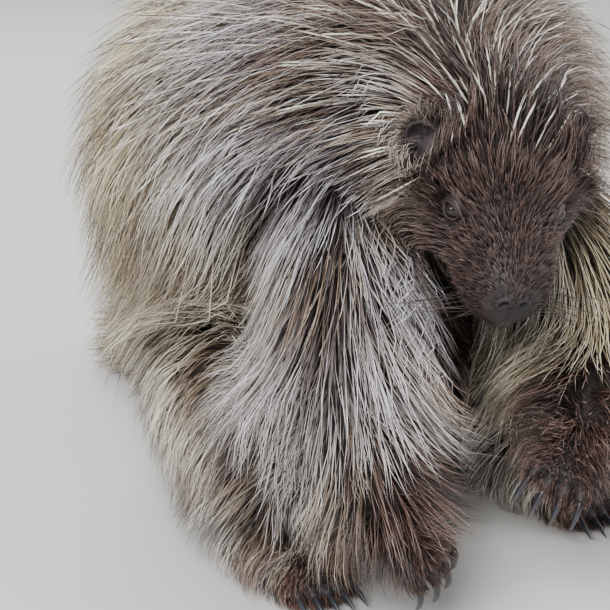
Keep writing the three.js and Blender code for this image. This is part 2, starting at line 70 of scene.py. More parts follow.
class Side(Enum):
    """The animal's own left or right."""

    LEFT = 1
    RIGHT = -1

    @property
    def word(self) -> str:
        """The side as it stands in names."""
        return self.name.lower()

    def place(self, row: Row) -> Array:
        """Takes a place or a direction on the left to this side."""
        return np.array((self.value * row[0], *row[1:]))


class Region(Enum):
    """Stretches of the body that carry one kind of coat."""

    TORSO = "torso"
    NECK = "neck"
    HEAD = "head"
    TAIL = "tail"
    UPPER_ARM = "upper_arm"
    FOREARM = "forearm"
    FOREPAW = "forepaw"
    THIGH = "thigh"
    SHANK = "shank"
    HIND_FOOT = "hind_foot"
    EAR = "ear"


TRUNK = (Region.TORSO, Region.NECK, Region.HEAD, Region.TAIL)
FINE = (Region.HEAD, Region.FOREPAW, Region.HIND_FOOT, Region.EAR)


def unit(v: Array) -> Array:
    """Scales each vector of an array to length 1."""
    return v / np.maximum(np.linalg.norm(v, axis=-1, keepdims=True), 1e-12)


def smoothstep(low: float, high: float, x: Array) -> Array:
    """Rises smoothly from 0 at low to 1 at high."""
    t = np.clip((x - low) / (high - low), 0.0, 1.0)
    return t * t * (3.0 - 2.0 * t)


def spline(rows: Array, t: Array) -> Array:
    """Runs a Catmull-Rom curve through rows.

    Args:
        rows: One row of values for each point of the curve.
        t: Where to read it, from 0 at the first row to 1 at the last.

    Returns:
        The values at each t.
    """
    last = len(rows) - 1
    padded = np.vstack([2 * rows[0] - rows[1], rows, 2 * rows[-1] - rows[-2]])
    place = np.clip(np.asarray(t, float), 0.0, 1.0) * last
    i = np.minimum(place.astype(int), last - 1)
    u = (place - i)[..., None]
    a, b, c, d = (padded[i + k] for k in range(4))
    return 0.5 * (2 * b + (c - a) * u + (2 * a - 5 * b + 4 * c - d) * u**2 + (3 * b - a - 3 * c + d) * u**3)


def tube_faces(rings: int, sides: int) -> list[tuple[int, ...]]:
    """Lists the faces of a closed tube: both its ends, and the rows between its rings."""
    last = (rings - 1) * sides
    faces: list[tuple[int, ...]] = [tuple(reversed(range(sides))), tuple(range(last, last + sides))]
    for i in range(rings - 1):
        for j in range(sides):
            k = (j + 1) % sides
            faces.append((i * sides + j, i * sides + k, (i + 1) * sides + k, (i + 1) * sides + j))
    return faces


@dataclass(frozen=True)
class Stations:
    """Sections of a stretch of flesh: centres, directions, half sizes and the depth of the coat."""

    centre: Array
    along: Array
    side: Array
    up: Array
    size: Array
    coat: Array


@dataclass
class Flesh:
    """A stretch of the body, oval in section, along a smooth path.

    Rows are x, y, z, half width, height over, height under and depth of coat, in millimetres. `across` is a
    direction that the path never follows, and `belly` the share of the coat's depth on the under side. `lie`
    is how much the hair runs the way the path does, below 0 where it runs against it, `hang` how much it
    hangs down, `fan` how much it spreads to the sides, and `long` how long it is for the depth of the coat.
    """

    region: Region
    rows: Sequence[Row]
    across: Row = (1.0, 0.0, 0.0)
    belly: float = 1.0
    lie: float = 1.0
    hang: float = 0.0
    fan: float = 0.0
    long: float = 1.0
    place: Matrix | None = None

    def stations(self, t: Array) -> Stations:
        """Gives the sections at t, in the world."""
        table = np.array([tuple(row) + (0.0,) * (7 - len(row)) for row in self.rows], float)
        here = spline(table, t)
        step = 1e-3
        ahead, behind = (spline(table[:, :3], np.clip(t + way, 0, 1)) for way in (step, -step))
        along = unit(ahead - behind)
        across = np.array(self.across, float)
        side = unit(across - along * (along @ across)[..., None])
        up = np.cross(along, side)
        centre = here[..., :3]
        if self.place is not None:
            turn = np.array(self.place.to_3x3())
            centre = centre @ turn.T + np.array(self.place.translation)
            along, side, up = (v @ turn.T for v in (along, side, up))
        return Stations(centre, along, side, up, here[..., 3:6], here[..., 6])

    def surface(self, t: Array, degrees: Array, grow: float = 0.0) -> Array:
        """Gives skin points at t and an angle round the path, where 90 degrees is the back or upper side."""
        s = self.stations(t)
        turn = np.radians(degrees)[..., None]
        high = np.where(np.sin(turn) > 0, s.size[..., 1:2], s.size[..., 2:3])
        wide, tall = (s.size[..., :1] + grow), (high + grow)
        return s.centre + s.side * np.cos(turn) * wide + s.up * np.sin(turn) * tall

    def mesh(self, rings: int, sides: int, shrink: float = 0.0) -> Form:
        """Builds the closed skin of this stretch.

        Args:
            rings: Sections along the path.
            sides: Corners of each section.
            shrink: Millimetres by which the skin lies inside its rows.

        Returns:
            Points in millimetres, and faces.
        """
        t = np.repeat(np.linspace(0, 1, rings), sides)
        degrees = np.tile(np.arange(sides) * 360.0 / sides, rings)
        return self.surface(t, degrees, -shrink), tube_faces(rings, sides)

    def nearest(self, points: Array, count: int = 28) -> "Near":
        """Finds where points are round this stretch.

        Args:
            points: Places in the world, in millimetres.
            count: Sections that are tried along the path.

        Returns:
            How far each point is outside the skin, and the way out, the lie and the coat there.
        """
        s = self.stations(np.linspace(0, 1, count))
        away = points[:, None, :] - s.centre[None]
        x, y, z = (np.einsum("nmk,mk->nm", away, axis) for axis in (s.side, s.up, s.along))
        flat = np.hypot(x, y) + 1e-6
        high = np.where(y > 0, s.size[:, 1], s.size[:, 2])
        over = flat - 1 / np.hypot(x / flat / s.size[:, 0], y / flat / high)
        far = np.hypot(np.maximum(over, 0), z)
        best = far.argmin(axis=1)
        row = np.arange(len(points))
        x, y, z, flat, over, far = (v[row, best] for v in (x, y, z, flat, over, far))
        beyond = np.where(best == 0, np.minimum(z, 0), np.where(best == count - 1, np.maximum(z, 0), 0.0))
        radial = (s.side[best] * x[:, None] + s.up[best] * y[:, None]) / flat[:, None]
        rounding = np.where(beyond == 0, 2.0, END_ROUNDING * (flat / np.maximum(flat - over, 1.0)) ** 2)
        out = unit(radial * np.maximum(over, rounding)[:, None] + s.along[best] * beyond[:, None])
        gap = far + np.where(beyond == 0, np.minimum(over, 0), 0.0)
        low = np.clip(-y / flat, 0, 1)
        coat = s.coat[best] * (1 - low * (1 - self.belly))
        degrees = np.degrees(np.arctan2(y, x))
        spread = s.side[best] * (x / flat * self.fan)[:, None]
        lie = s.along[best] * self.lie + spread + np.array((0.0, 0.0, -self.hang))
        return Near(gap, out, lie, coat, best / (count - 1), degrees)


@dataclass(frozen=True)
class Near:
    """Where points are round one stretch of flesh."""

    gap: Array
    out: Array
    lie: Array
    coat: Array
    t: Array
    degrees: Array


def mirrored(rows: Iterable[Row]) -> list[Row]:
    """Rows of the animal's left, on its right."""
    return [(-row[0], *row[1:]) for row in rows]


def sections(a: Row, b: Row, rows: Iterable[tuple[float, Row]]) -> list[Row]:
    """Places sizes at their share of the way from a to b."""
    return [(*(v + (w - v) * share for v, w in zip(a, b)), *sizes) for share, sizes in rows]


@dataclass(frozen=True)
class HeadSet:
    """How the head sits on the neck: degrees down, to its right and over, and its back end in millimetres."""

    pitch: float = 34.0
    yaw: float = -20.0
    roll: float = 5.0
    base: Row = (-2.0, -176.0, 280.0)

    @property
    def matrix(self) -> Matrix:
        """Takes a level head that faces -Y to its place."""
        turn = (
            Matrix.Rotation(math.radians(self.yaw), 4, "Z")
            @ Matrix.Rotation(math.radians(self.roll), 4, "Y")
            @ Matrix.Rotation(math.radians(self.pitch), 4, "X")
        )
        return Matrix.Translation(self.base) @ turn


@dataclass(frozen=True)
class Arm:
    """Where an arm bends, in millimetres."""

    shoulder: Row
    elbow: Row
    wrist: Row
    paw: Row


@dataclass
class Anatomy:
    """The body's stretches of flesh, from the same sizes as the solids."""

    head_set: HeadSet = field(default_factory=HeadSet)
    torso: Sequence[Row] = (
        (0, 8, -6, 40, 34, 38, 16),
        (0, 10, 24, 80, 74, 80, 30),
        (0, 14, 72, 94, 90, 98, 38),
        (0, 16, 128, 100, 98, 104, 42),
        (0, 12, 186, 106, 106, 108, 50),
        (0, -10, 240, 117, 104, 100, 68),
        (0, -56, 274, 118, 86, 80, 80),
        (0, -104, 288, 90, 68, 62, 72),
        (0, -138, 288, 56, 50, 48, 46),
    )
    neck: Sequence[Row] = (
        (0, -118, 278, 58, 54, 50, 40),
        (-3, -148, 284, 50, 48, 46, 42),
        (-7, -172, 283, 44, 42, 42, 34),
        (-11, -193, 281, 30, 28, 30, 14),
    )
    head: Sequence[Row] = (
        (0, 14, 2, 30, 27, 30, 40),
        (0, -6, 2, 40, 36, 38, 38),
        (0, -26, 2, 44, 38, 40, 28),
        (0, -46, 0, 41, 35, 37, 15),
        (0, -64, -3, 33, 30, 33, 8),
        (0, -82, -6, 28, 26, 29, 6),
        (0, -98, -8, 25, 23, 26, 5),
        (0, -109, -9, 20, 18, 21, 3),
        (0, -114, -9, 12, 11, 13, 2),
    )
    tail: Sequence[Row] = (
        (0, 60, 52, 46, 44, 48, 22),
        (-2, 114, 41, 39, 35, 41, 32),
        (-10, 170, 31, 31, 28, 31, 36),
        (-24, 224, 24, 22, 20, 24, 34),
        (-38, 264, 18, 11, 11, 17, 22),
    )
    thigh: Sequence[Row] = (
        (72, 4, 84, 40, 50, 48, 18),
        (92, -34, 88, 42, 52, 50, 26),
        (102, -78, 88, 36, 46, 42, 30),
        (104, -116, 82, 27, 33, 32, 28),
        (103, -144, 72, 16, 19, 19, 18),
    )
    shank: Sequence[Row] = (
        (102, -128, 90, 20, 19, 23, 6),
        (103, -130, 66, 20, 19, 22, 14),
        (103, -114, 46, 17, 17, 19, 16),
        (103, -94, 24, 14, 14, 15, 14),
    )
    hind_foot: Sequence[Row] = (
        (103, -80, 17, 14, 13, 20, 14),
        (104, -108, 16, 17, 14, 20, 14),
        (106, -142, 14, 20, 12, 20, 9),
        (107, -168, 11, 21, 9, 16, 3),
    )
    upper_arm: Sequence[tuple[float, Row]] = (
        (-0.28, (26, 28, 28, 10)),
        (0.3, (31, 35, 34, 32)),
        (0.7, (26, 29, 28, 32)),
        (1.1, (16, 17, 17, 22)),
    )
    forearm: Sequence[tuple[float, Row]] = (
        (-0.12, (18, 18, 19, 14)),
        (0.3, (20, 21, 20, 24)),
        (0.7, (16, 16, 15, 24)),
        (1.05, (11, 11, 11, 14)),
    )
    forepaw: Sequence[tuple[float, Row]] = (
        (-0.1, (12, 11, 11, 14)),
        (0.4, (15, 10, 10, 10)),
        (1, (17, 9, 9, 3)),
    )
    arms: dict[Side, Arm] = field(
        default_factory=lambda: {
            Side.LEFT: Arm((68, -122, 232), (88, -186, 140), (34, -236, 106), (2, -258, 94)),
            Side.RIGHT: Arm((-68, -122, 232), (-100, -180, 132), (-90, -218, 72), (-75, -239, 53)),
        }
    )

    def limb(self, side: Side) -> list[Flesh]:
        """Builds the stretches of the arm and leg of one side."""
        turned: Callable[[Iterable[Row]], list[Row]] = list if side is Side.LEFT else mirrored
        arm = self.arms[side]
        upper = sections(arm.shoulder, arm.elbow, self.upper_arm)
        fore = sections(arm.elbow, arm.wrist, self.forearm)
        paw = sections(arm.wrist, arm.paw, self.forepaw)
        return [
            Flesh(Region.THIGH, turned(self.thigh), hang=2.0),
            Flesh(Region.SHANK, turned(self.shank), hang=1.6, long=1.7),
            Flesh(Region.HIND_FOOT, turned(self.hind_foot), hang=0.5, long=1.3),
            Flesh(Region.UPPER_ARM, upper, lie=0.7, hang=2.0, long=1.6),
            Flesh(Region.FOREARM, fore, hang=1.6, long=1.35),
            Flesh(Region.FOREPAW, paw, hang=0.2),
        ]

    def ear(self, side: Side) -> Flesh:
        """Builds the flesh of an ear, from its root up, which gives its fur its lie."""
        ear = Ear(side)
        right = np.cross(ear.ahead, (0.0, 0.0, 1.0))
        rows = []
        for rise in (-0.95, -0.6, 0.0, 0.6, 0.95):
            share = math.sqrt(1 - rise * rise)
            x, y, z = ear.centre + np.array((0.0, 0.0, rise * ear.half_height))
            wide, deep = ear.half_width * share, ear.half_depth * share
            rows.append((x, y, z, wide, deep, deep, ear.coat))
        return Flesh(Region.EAR, rows, across=tuple(right), place=self.head_set.matrix)

    def stretches(self) -> list[Flesh]:
        """Builds every stretch of the body."""
        trunk = [
            Flesh(Region.TORSO, self.torso, belly=0.35, lie=-0.35, hang=2.8),
            Flesh(Region.NECK, self.neck, belly=0.4, lie=-1.0, hang=1.8, fan=0.8),
            Flesh(Region.HEAD, self.head, belly=0.4, lie=-1.0, fan=0.6, place=self.head_set.matrix),
            Flesh(Region.TAIL, self.tail, across=(-1.0, 0.0, 0.0), belly=0.4),
        ]
        ears = [self.ear(side) for side in Side]
        return trunk + self.limb(Side.LEFT) + self.limb(Side.RIGHT) + ears


def mesh_object(
    name: str, points: Array, faces: Sequence[Sequence[int]], smooth: bool = True
) -> bpy.types.Object:
    """Adds a mesh to the scene.

    Args:
        name: The piece's name.
        points: Places in millimetres.
        faces: Corners of each face.
        smooth: Whether its faces are shaded smooth.

    Returns:
        The new object, in metres.
    """
    mesh = bpy.data.meshes.new(name)
    mesh.from_pydata([tuple(p) for p in np.asarray(points) * MM], [], [tuple(f) for f in faces])
    mesh.update()
    mesh.polygons.foreach_set("use_smooth", [smooth] * len(mesh.polygons))
    made = bpy.data.objects.new(name, mesh)
    bpy.context.scene.collection.objects.link(made)
    return made


def points_of(mesh: bpy.types.Mesh) -> Array:
    """Reads the points of a mesh, in millimetres."""
    points = np.empty(len(mesh.vertices) * 3)
    mesh.vertices.foreach_get("co", points)
    return points.reshape(-1, 3) / MM


def applied(piece: bpy.types.Object) -> None:
    """Applies every modifier of a piece."""
    depsgraph = bpy.context.evaluated_depsgraph_get()
    mesh = bpy.data.meshes.new_from_object(piece.evaluated_get(depsgraph))
    old = piece.data
    piece.modifiers.clear()
    piece.data = mesh
    mesh.name = piece.name
    bpy.data.meshes.remove(old)


def joined_parts(parts: Iterable[Form]) -> Form:
    """Puts several lists of points and faces into one."""
    points: list[Array] = []
    faces: list[tuple[int, ...]] = []
    offset = 0
    for part_points, part_faces in parts:
        points.append(np.asarray(part_points, float))
        faces.extend(tuple(i + offset for i in face) for face in part_faces)
        offset += len(part_points)
    return np.vstack(points), faces


def tube(path: Array, radii: Array, sides: int, up: Array) -> Form:
    """Sweeps a round section along a path.

    Args:
        path: Centres of the sections.
        radii: Radius at each, or half width and half height.
        sides: Corners of each section.
        up: A direction across the path that the section's height follows.

    Returns:
        Points and faces of a closed tube.
    """
    radii = np.broadcast_to(np.asarray(radii, float).reshape(len(path), -1), (len(path), 2))
    along = unit(np.gradient(path, axis=0))
    side = unit(np.cross(np.broadcast_to(up, along.shape), along))
    high = np.cross(along, side)
    turn = np.arange(sides) * 2 * math.pi / sides
    rings = (
        path[:, None, :]
        + side[:, None, :] * (np.cos(turn)[None, :] * radii[:, :1])[..., None]
        + high[:, None, :] * (np.sin(turn)[None, :] * radii[:, 1:])[..., None]
    )
    return rings.reshape(-1, 3), tube_faces(len(path), sides)


def ellipsoid(centre: Row | Array, half: Row, fine: int) -> Form:
    """Builds a stretched ball, with that many corners round it."""
    rings, sides = fine // 2, fine
    points = [(0.0, 0.0, 1.0)]
    for i in range(1, rings):
        angle = math.pi * i / rings
        wide, high = math.sin(angle), math.cos(angle)
        for j in range(sides):
            turn = 2 * math.pi * j / sides
            points.append((wide * math.cos(turn), wide * math.sin(turn), high))
    points.append((0.0, 0.0, -1.0))
    faces: list[tuple[int, ...]] = [(0, 1 + j, 1 + (j + 1) % sides) for j in range(sides)]
    for i in range(rings - 2):
        for j in range(sides):
            a, b = 1 + i * sides + j, 1 + i * sides + (j + 1) % sides
            faces.append((a, a + sides, b + sides, b))
    last = len(points) - 1
    start = last - sides
    faces += [(start + j, last, start + (j + 1) % sides) for j in range(sides)]
    return np.array(points) * np.array(half) + np.array(centre), faces


def moved(points: Array, matrix: Matrix) -> Array:
    """Takes points through a matrix."""
    return np.asarray(points) @ np.array(matrix.to_3x3()).T + np.array(matrix.translation)


def fused(parts: Iterable[Form], voxel: float, soften: int) -> tuple[Array, Array]:
    """Melts closed, overlapping forms into one surface.

    Args:
        parts: Points in millimetres and faces of each form.
        voxel: Size of the new faces in millimetres.
        soften: Rounds of smoothing.

    Returns:
        Points in millimetres, and faces of four corners.
    """
    piece = mesh_object("melt", *joined_parts(parts))
    remesh = piece.modifiers.new("melt", "REMESH")
    remesh.mode, remesh.voxel_size = "VOXEL", voxel * MM
    smooth = piece.modifiers.new("soften", "SMOOTH")
    smooth.factor, smooth.iterations = 0.5, soften
    applied(piece)
    mesh = piece.data
    points = points_of(mesh)
    corners = np.empty(len(mesh.loops), int)
    mesh.loops.foreach_get("vertex_index", corners)
    bpy.data.objects.remove(piece)
    bpy.data.meshes.remove(mesh)
    return points, corners.reshape(-1, 4)


def normals_of(points: Array, faces: Array) -> Array:
    """Works out the outward direction at each point of a surface of four-cornered faces."""
    a, b, c, d = (points[faces[:, k]] for k in range(4))
    across = np.cross(c - a, d - b)
    total = np.zeros_like(points)
    for k in range(4):
        np.add.at(total, faces[:, k], across)
    return unit(total)


def lathed(profile: Array, centre: Array, right: Array, up: Array, sides: int) -> Form:
    """Turns a profile round an axis into a closed form.

    Args:
        profile: Share of the radius, and distance back along the axis, from the front pole to the back one.
        centre: The middle of the form.
        right: The half width, as a vector.
        up: The half height, as a vector.
        sides: Corners of each ring.

    Returns:
        Points and faces.
    """
    back = unit(np.cross(right, up))
    turn = np.arange(sides) * 2 * math.pi / sides
    points = [centre + back * profile[0][1]]
    for share, away in profile[1:-1]:
        ring = centre + back * away + share * (np.cos(turn)[:, None] * right + np.sin(turn)[:, None] * up)
        points.extend(ring)
    points.append(centre + back * profile[-1][1])
    rings, last = len(profile) - 2, len(points) - 1
    faces: list[tuple[int, ...]] = [(0, 1 + (j + 1) % sides, 1 + j) for j in range(sides)]
    for i in range(rings - 1):
        for j in range(sides):
            a, b = 1 + i * sides + j, 1 + i * sides + (j + 1) % sides
            faces.append((a, b, b + sides, a + sides))
    start = last - sides
    faces += [(start + j, start + (j + 1) % sides, last) for j in range(sides)]
    return np.array(points), faces


@dataclass
class Eye:
    """One eye in the level head's frame, in millimetres.

    The lids' opening has a half width, and a height above and below the middle, in degrees round the ball.
    The section of their fold is in degrees beyond the edge of the opening and millimetres above the ball.
    """

    side: Side
    radius: float = 6.3
    out: float = 28.5
    forward: float = 60.0
    up: float = 12.0
    look: Row = (0.87, -0.45, 0.15)
    bulge: float = 0.55
    bulge_angle: float = 34.0
    bulge_edge: Row = (0.35, 1.0)
    opening: Row = (54.0, 40.0, 34.0)
    corner: float = 1.6
    lower_share: float = 0.75
    fold: Sequence[Row] = (
        (34, -1.6), (8, -0.5), (1.5, 0.1), (-0.8, 0.45), (-1.2, 0.9), (0.4, 1.35), (5, 1.65), (10, 1.75),
        (14, 1.3), (17, 1.25), (22, 1.75), (30, 1.7), (38, 1.2), (43, 1.15), (50, 1.1), (60, -0.2),
        (64, -1.8), (48, -2.6),
    )

    @property
    def centre(self) -> Array:
        """The middle of the ball."""
        return self.side.place((self.out, -self.forward, self.up))

    def axes(self) -> tuple[Array, Array, Array]:
        """The ways ahead, across and up, as the eye looks."""
        ahead = unit(self.side.place(self.look))
        right = unit(np.cross(ahead, (0.0, 0.0, 1.0)))
        return ahead, right, np.cross(right, ahead)

    def spot(self, polar: Array, turn: Array, above: Array) -> Array:
        """Gives points round the ball.

        Args:
            polar: Degrees from the middle of the pupil.
            turn: Degrees round it.
            above: Millimetres above the ball.

        Returns:
            Points in the head's frame.
        """
        ahead, right, up = self.axes()
        a, b = np.radians(polar)[..., None], np.radians(turn)[..., None]
        way = ahead * np.cos(a) + (right * np.cos(b) + up * np.sin(b)) * np.sin(a)
        return self.centre + way * (self.radius + np.asarray(above)[..., None])

    def ball(self, place: Matrix, rings: int = 40, sides: int = 56) -> bpy.types.Object:
        """Builds the ball, with the clear bulge in front of the pupil."""
        polar = np.linspace(0, 180, rings)
        above = self.bulge * (1 - smoothstep(*self.bulge_edge, polar / self.bulge_angle))
        radius = self.radius + above
        profile = np.stack([np.sin(np.radians(polar)), -radius * np.cos(np.radians(polar))], axis=1)
        profile[1:-1, 0] *= radius[1:-1] / self.radius
        _, right, up = self.axes()
        points, faces = lathed(profile, self.centre, right * self.radius, up * self.radius, sides)
        piece = mesh_object(f"eye_{self.side.word}", moved(points, place), faces)
        spread = np.concatenate([[0.0], np.repeat(polar[1:-1], sides), [180.0]])
        floats(piece, polar=spread / 180.0)
        return piece

    def lids(self, sides: int = 72) -> Form:
        """Builds both lids as one ring of folded skin round the opening."""
        profile = np.array(self.fold)
        turn = np.arange(sides) * 360.0 / sides
        cos, sin = np.cos(np.radians(turn)), np.sin(np.radians(turn))
        wide, above, below = self.opening
        high = np.where(sin > 0, above, below)
        edge = (np.abs(cos / wide) ** self.corner + np.abs(sin / high) ** self.corner) ** (-1 / self.corner)
        polar = edge[:, None] + profile[None, :, 0]
        heavy = np.where(sin > 0, 1.0, self.lower_share)[:, None]
        points = self.spot(polar, np.broadcast_to(turn[:, None], polar.shape), profile[None, :, 1] * heavy)
        count = len(profile)
        faces = [
            (i * count + j, (i + 1) % sides * count + j, (i + 1) % sides * count + (j + 1) % count,
             i * count + (j + 1) % count)
            for i in range(sides)
            for j in range(count)
        ]
        return points.reshape(-1, 3), faces


def floats(piece: bpy.types.Object, **values: Array) -> None:
    """Stores a number for each point of a piece under each name."""
    for name, numbers in values.items():
        stored = piece.data.attributes.new(name, "FLOAT", "POINT")
        stored.data.foreach_set("value", np.asarray(numbers, np.float32))


@dataclass
class Ear:
    """A small round ear, a thick cup that faces ahead and outwards, in the level head's frame."""

    side: Side
    out: float = 43.0
    forward: float = 20.0
    up: float = 25.0
    half_width: float = 13.0
    half_height: float = 15.0
    half_depth: float = 5.0
    turn: float = 38.0
    coat: float = 7.0
    profile: Sequence[Row] = (
        (0.0, 3.2), (0.25, 3.0), (0.5, 2.3), (0.66, 1.0), (0.77, -1.0), (0.84, -3.2), (0.91, -4.0),
        (0.98, -3.2), (1.0, -1.0), (0.94, 1.6), (0.75, 3.7), (0.4, 5.1), (0.0, 5.5),
    )
    fold: Sequence[Row] = ((5.2, -9.0, 0.5), (6.4, -3.5, 0.2), (4.6, 2.5, 1.0), (0.4, 5.6, 2.2))
    fold_girth: Sequence[Row] = ((0, 2.1), (0.4, 1.7), (1, 0.9))
    flap: Row = (5.5, 7.5, 1.0)
    flap_half: Row = (3.2, 2.6, 4.4)
    sides: int = 40
    fold_rings: int = 12
    fold_sides: int = 10
    flap_fine: int = 16

    @property
    def centre(self) -> Array:
        """The middle of the cup."""
        return self.side.place((self.out, -self.forward, self.up))

    @property
    def ahead(self) -> Array:
        """The way the cup faces."""
        angle = math.radians(self.turn)
        return np.array((self.side.value * math.sin(angle), -math.cos(angle), 0.0))

    def parts(self) -> list[Form]:
        """Builds the cup, and the folds in it."""
        up = np.array((0.0, 0.0, 1.0))
        right = np.cross(self.ahead, up)
        wide, high = right * self.half_width, up * self.half_height
        cup = lathed(np.array(self.profile), self.centre, wide, high, self.sides)
        inward = right * self.side.value
        fold = np.array([self.centre + inward * x + up * z - self.ahead * y for x, z, y in self.fold])
        share = np.linspace(0, 1, self.fold_rings)
        girth = np.interp(share, *zip(*self.fold_girth))
        notch = tube(spline(fold, share), girth, self.fold_sides, self.ahead)
        x, z, y = self.flap
        middle = self.centre - inward * x - up * z + self.ahead * y
        flap = ellipsoid(middle, self.flap_half, self.flap_fine)
        return [cup, notch, flap]


@dataclass(frozen=True)
class Ridge:
    """A rounded ridge, or a groove where its height is below 0, with how far off its crest is."""

    far: float
    width: float
    height: float

    def at(self, distance: Array) -> Array:
        """Gives its height at a distance from what it runs round."""
        return self.height * np.exp(-(((distance - self.far) / self.width) ** 2))


@dataclass(frozen=True)
class Swelling:
    """A rounded form on both sides of the head: its middle on the left, its half sizes and its fineness."""

    middle: Row
    half: Row
    fine: int

    def form(self, side: Side) -> Form:
        """Builds it on one side."""
        return ellipsoid(side.place(self.middle), self.half, self.fine)


@dataclass
class Face:
    """Nose, lips, brows, cheeks, ears and lids, in the frame of a level head that faces -Y, in millimetres.

    Each lip is 1 above or -1 below, with its girth. The nostril has half sizes, turns about Y and Z in
    degrees, and the way that its hollow is pushed in. No hair grows in the balls: those of the eye and the
    ear are a distance ahead of its middle and a radius, and the nostril's is a radius.
    """

    head: Flesh
    place: Matrix
    shrink: float = 1.4
    voxel: float = 0.95
    fine: int = 72
    soften: int = 3
    nose: Row = (0.0, -109.5, -3.0)
    nose_half: Row = (9.0, 6.0, 7.2)
    nose_fine: int = 36
    nostril: Row = (5.0, -116.0, -4.2)
    nostril_half: Row = (2.1, 7.0, 3.4)
    nostril_turns: Row = (-32.0, -24.0)
    nostril_push: Row = (-0.6, 3.6, 0.5)
    nostril_edge: Row = (0.35, 1.0)
    nostril_rim: Ridge = Ridge(1.25, 0.3, 0.9)
    rim_front: float = -104.0
    swellings: Sequence[Swelling] = (
        Swelling((21, -50, -15), (17, 22, 14), 36),
        Swelling((9.5, -95, -8), (12.5, 15, 11), 30),
        Swelling((24, -54, 17), (9, 12, 7), 28),
        Swelling((36, -20, 18), (10, 12, 13), 28),
    )
    mouth_front: float = 0.93
    mouth_depth: float = 0.3
    mouth_curve: float = 1.4
    mouth_spread: float = 44.0
    mouth_fine: int = 160
    mouth_groove: Ridge = Ridge(0.0, 1.15, -2.3)
    lips: Sequence[Row] = ((1, 2.3), (-1, 2.0))
    lip_step: float = 0.03
    lip_spread: float = 8.0
    lip_thinning: float = 0.55
    lip_sides: int = 10
    lip_cleft: Ridge = Ridge(0.0, 0.9, -1.2)
    cleft_front: float = -103.0
    cleft_top: float = -7.0
    lid_groove: Ridge = Ridge(13.5, 2.2, -1.6)
    lid_groove_span: Row = (-2.0, 4.0)
    eye_bag: Ridge = Ridge(17.5, 2.0, 0.7)
    eye_bag_span: Row = (-2.0, 5.0)
    wrinkle: Row = (0.22, 1.3, 0.02)
    wrinkle_back: Row = (-60.0, -80.0)
    wrinkle_front: Row = (-108.0, -98.0)
    wrinkle_low: Row = (6.0, 16.0)
    eye_ball: Row = (8.0, 11.0)
    ear_ball: Row = (7.0, 7.5)
    ear_ball_up: float = 2.0
    nostril_ball: float = 5.0
    bare_nose: Row = (20.0, 12.0)
    whorl_axis: Row = (1.0, 0.0, 0.25)
    eyes: dict[Side, Eye] = field(default_factory=lambda: {side: Eye(side) for side in Side})
    ears: dict[Side, Ear] = field(default_factory=lambda: {side: Ear(side) for side in Side})

    def local(self) -> Flesh:
        """The head's own flesh, level."""
        return replace(self.head, place=None)

    def mouth_line(self, lip: float, count: int = 60) -> Array:
        """Gives points along the mouth, or along a lip where lip is 1 above and -1 below."""
        u = np.linspace(-1, 1, count)
        back = self.mouth_depth * np.abs(u) ** self.mouth_curve
        t = self.mouth_front - back + lip * self.lip_step * (1 - np.abs(u))
        return self.local().surface(t, -90 + u * (self.mouth_spread + lip * self.lip_spread), -self.shrink)

    def forms(self) -> list[Form]:
        """Builds the closed forms that melt into the head."""
        made: list[Form] = [
            self.local().mesh(self.fine, self.fine, self.shrink),
            ellipsoid(self.nose, self.nose_half, self.nose_fine),
        ]
        for lip, girth in self.lips:
            line = self.mouth_line(lip)
            thin = girth * (1 - self.lip_thinning * np.abs(np.linspace(-1, 1, len(line))) ** 2)
            made.append(tube(line, thin, self.lip_sides, np.array((0.0, 0.0, 1.0))))
        for side in Side:
            made += self.ears[side].parts()
            made += [swelling.form(side) for swelling in self.swellings]
        return made

    def nostril_share(self, points: Array, side: Side) -> Array:
        """Says how far points are from a nostril's middle, as a share of its half size."""
        about_y, about_z = (side.value * math.radians(turn) for turn in self.nostril_turns)
        turn = np.array(Euler((0.0, about_y, about_z), "XYZ").to_matrix())
        away = (points - side.place(self.nostril)) @ turn
        return np.sqrt(((away / self.nostril_half) ** 2).sum(axis=1))

    def sculpt(self, points: Array, normals: Array) -> Array:
        """Presses the nostrils, the mouth and the folds into the melted head.

        Args:
            points: The head's points, level.
            normals: The way out at each.

        Returns:
            The moved points.
        """
        rise = np.zeros(len(points))
        hollow = np.zeros_like(points)
        for side in Side:
            share = self.nostril_share(points, side)
            hollow += (1 - smoothstep(*self.nostril_edge, share))[:, None] * side.place(self.nostril_push)
            rise += self.nostril_rim.at(share) * (points[:, 1] < self.rim_front)
            eye = self.eyes[side]
            above = points - eye.centre
            far = np.linalg.norm(above, axis=1)
            ahead, _, up = eye.axes()
            rise += self.lid_groove.at(far) * smoothstep(*self.lid_groove_span, above @ ahead)
            rise += self.eye_bag.at(far) * smoothstep(*self.eye_bag_span, above @ -up)
        lowest = np.full(len(points), np.inf)
        for spot in self.mouth_line(0, self.mouth_fine):
            lowest = np.minimum(lowest, ((points - spot) ** 2).sum(axis=1))
        rise += self.mouth_groove.at(np.sqrt(lowest))
        middle = np.abs(points[:, 0])
        front = (points[:, 1] < self.cleft_front) & (points[:, 2] < self.cleft_top)
        rise += self.lip_cleft.at(middle) * front
        bridge = smoothstep(*self.wrinkle_back, points[:, 1]) * smoothstep(*self.wrinkle_low, points[:, 2])
        height, rate, bow = self.wrinkle
        waves = height * np.sin(points[:, 1] * rate + bow * middle**2)
        rise += waves * bridge * smoothstep(*self.wrinkle_front, points[:, 1])
        return points + normals * rise[:, None] + hollow

    def build(self) -> list[Form]:
        """Builds the skin of the head and its lids, in the world."""
        points, faces = fused(self.forms(), self.voxel, self.soften)
        points = self.sculpt(points, normals_of(points, faces))
        made = [(moved(points, self.place), faces)]
        for eye in self.eyes.values():
            lid_points, lid_faces = eye.lids()
            made.append((moved(lid_points, self.place), lid_faces))
        return made

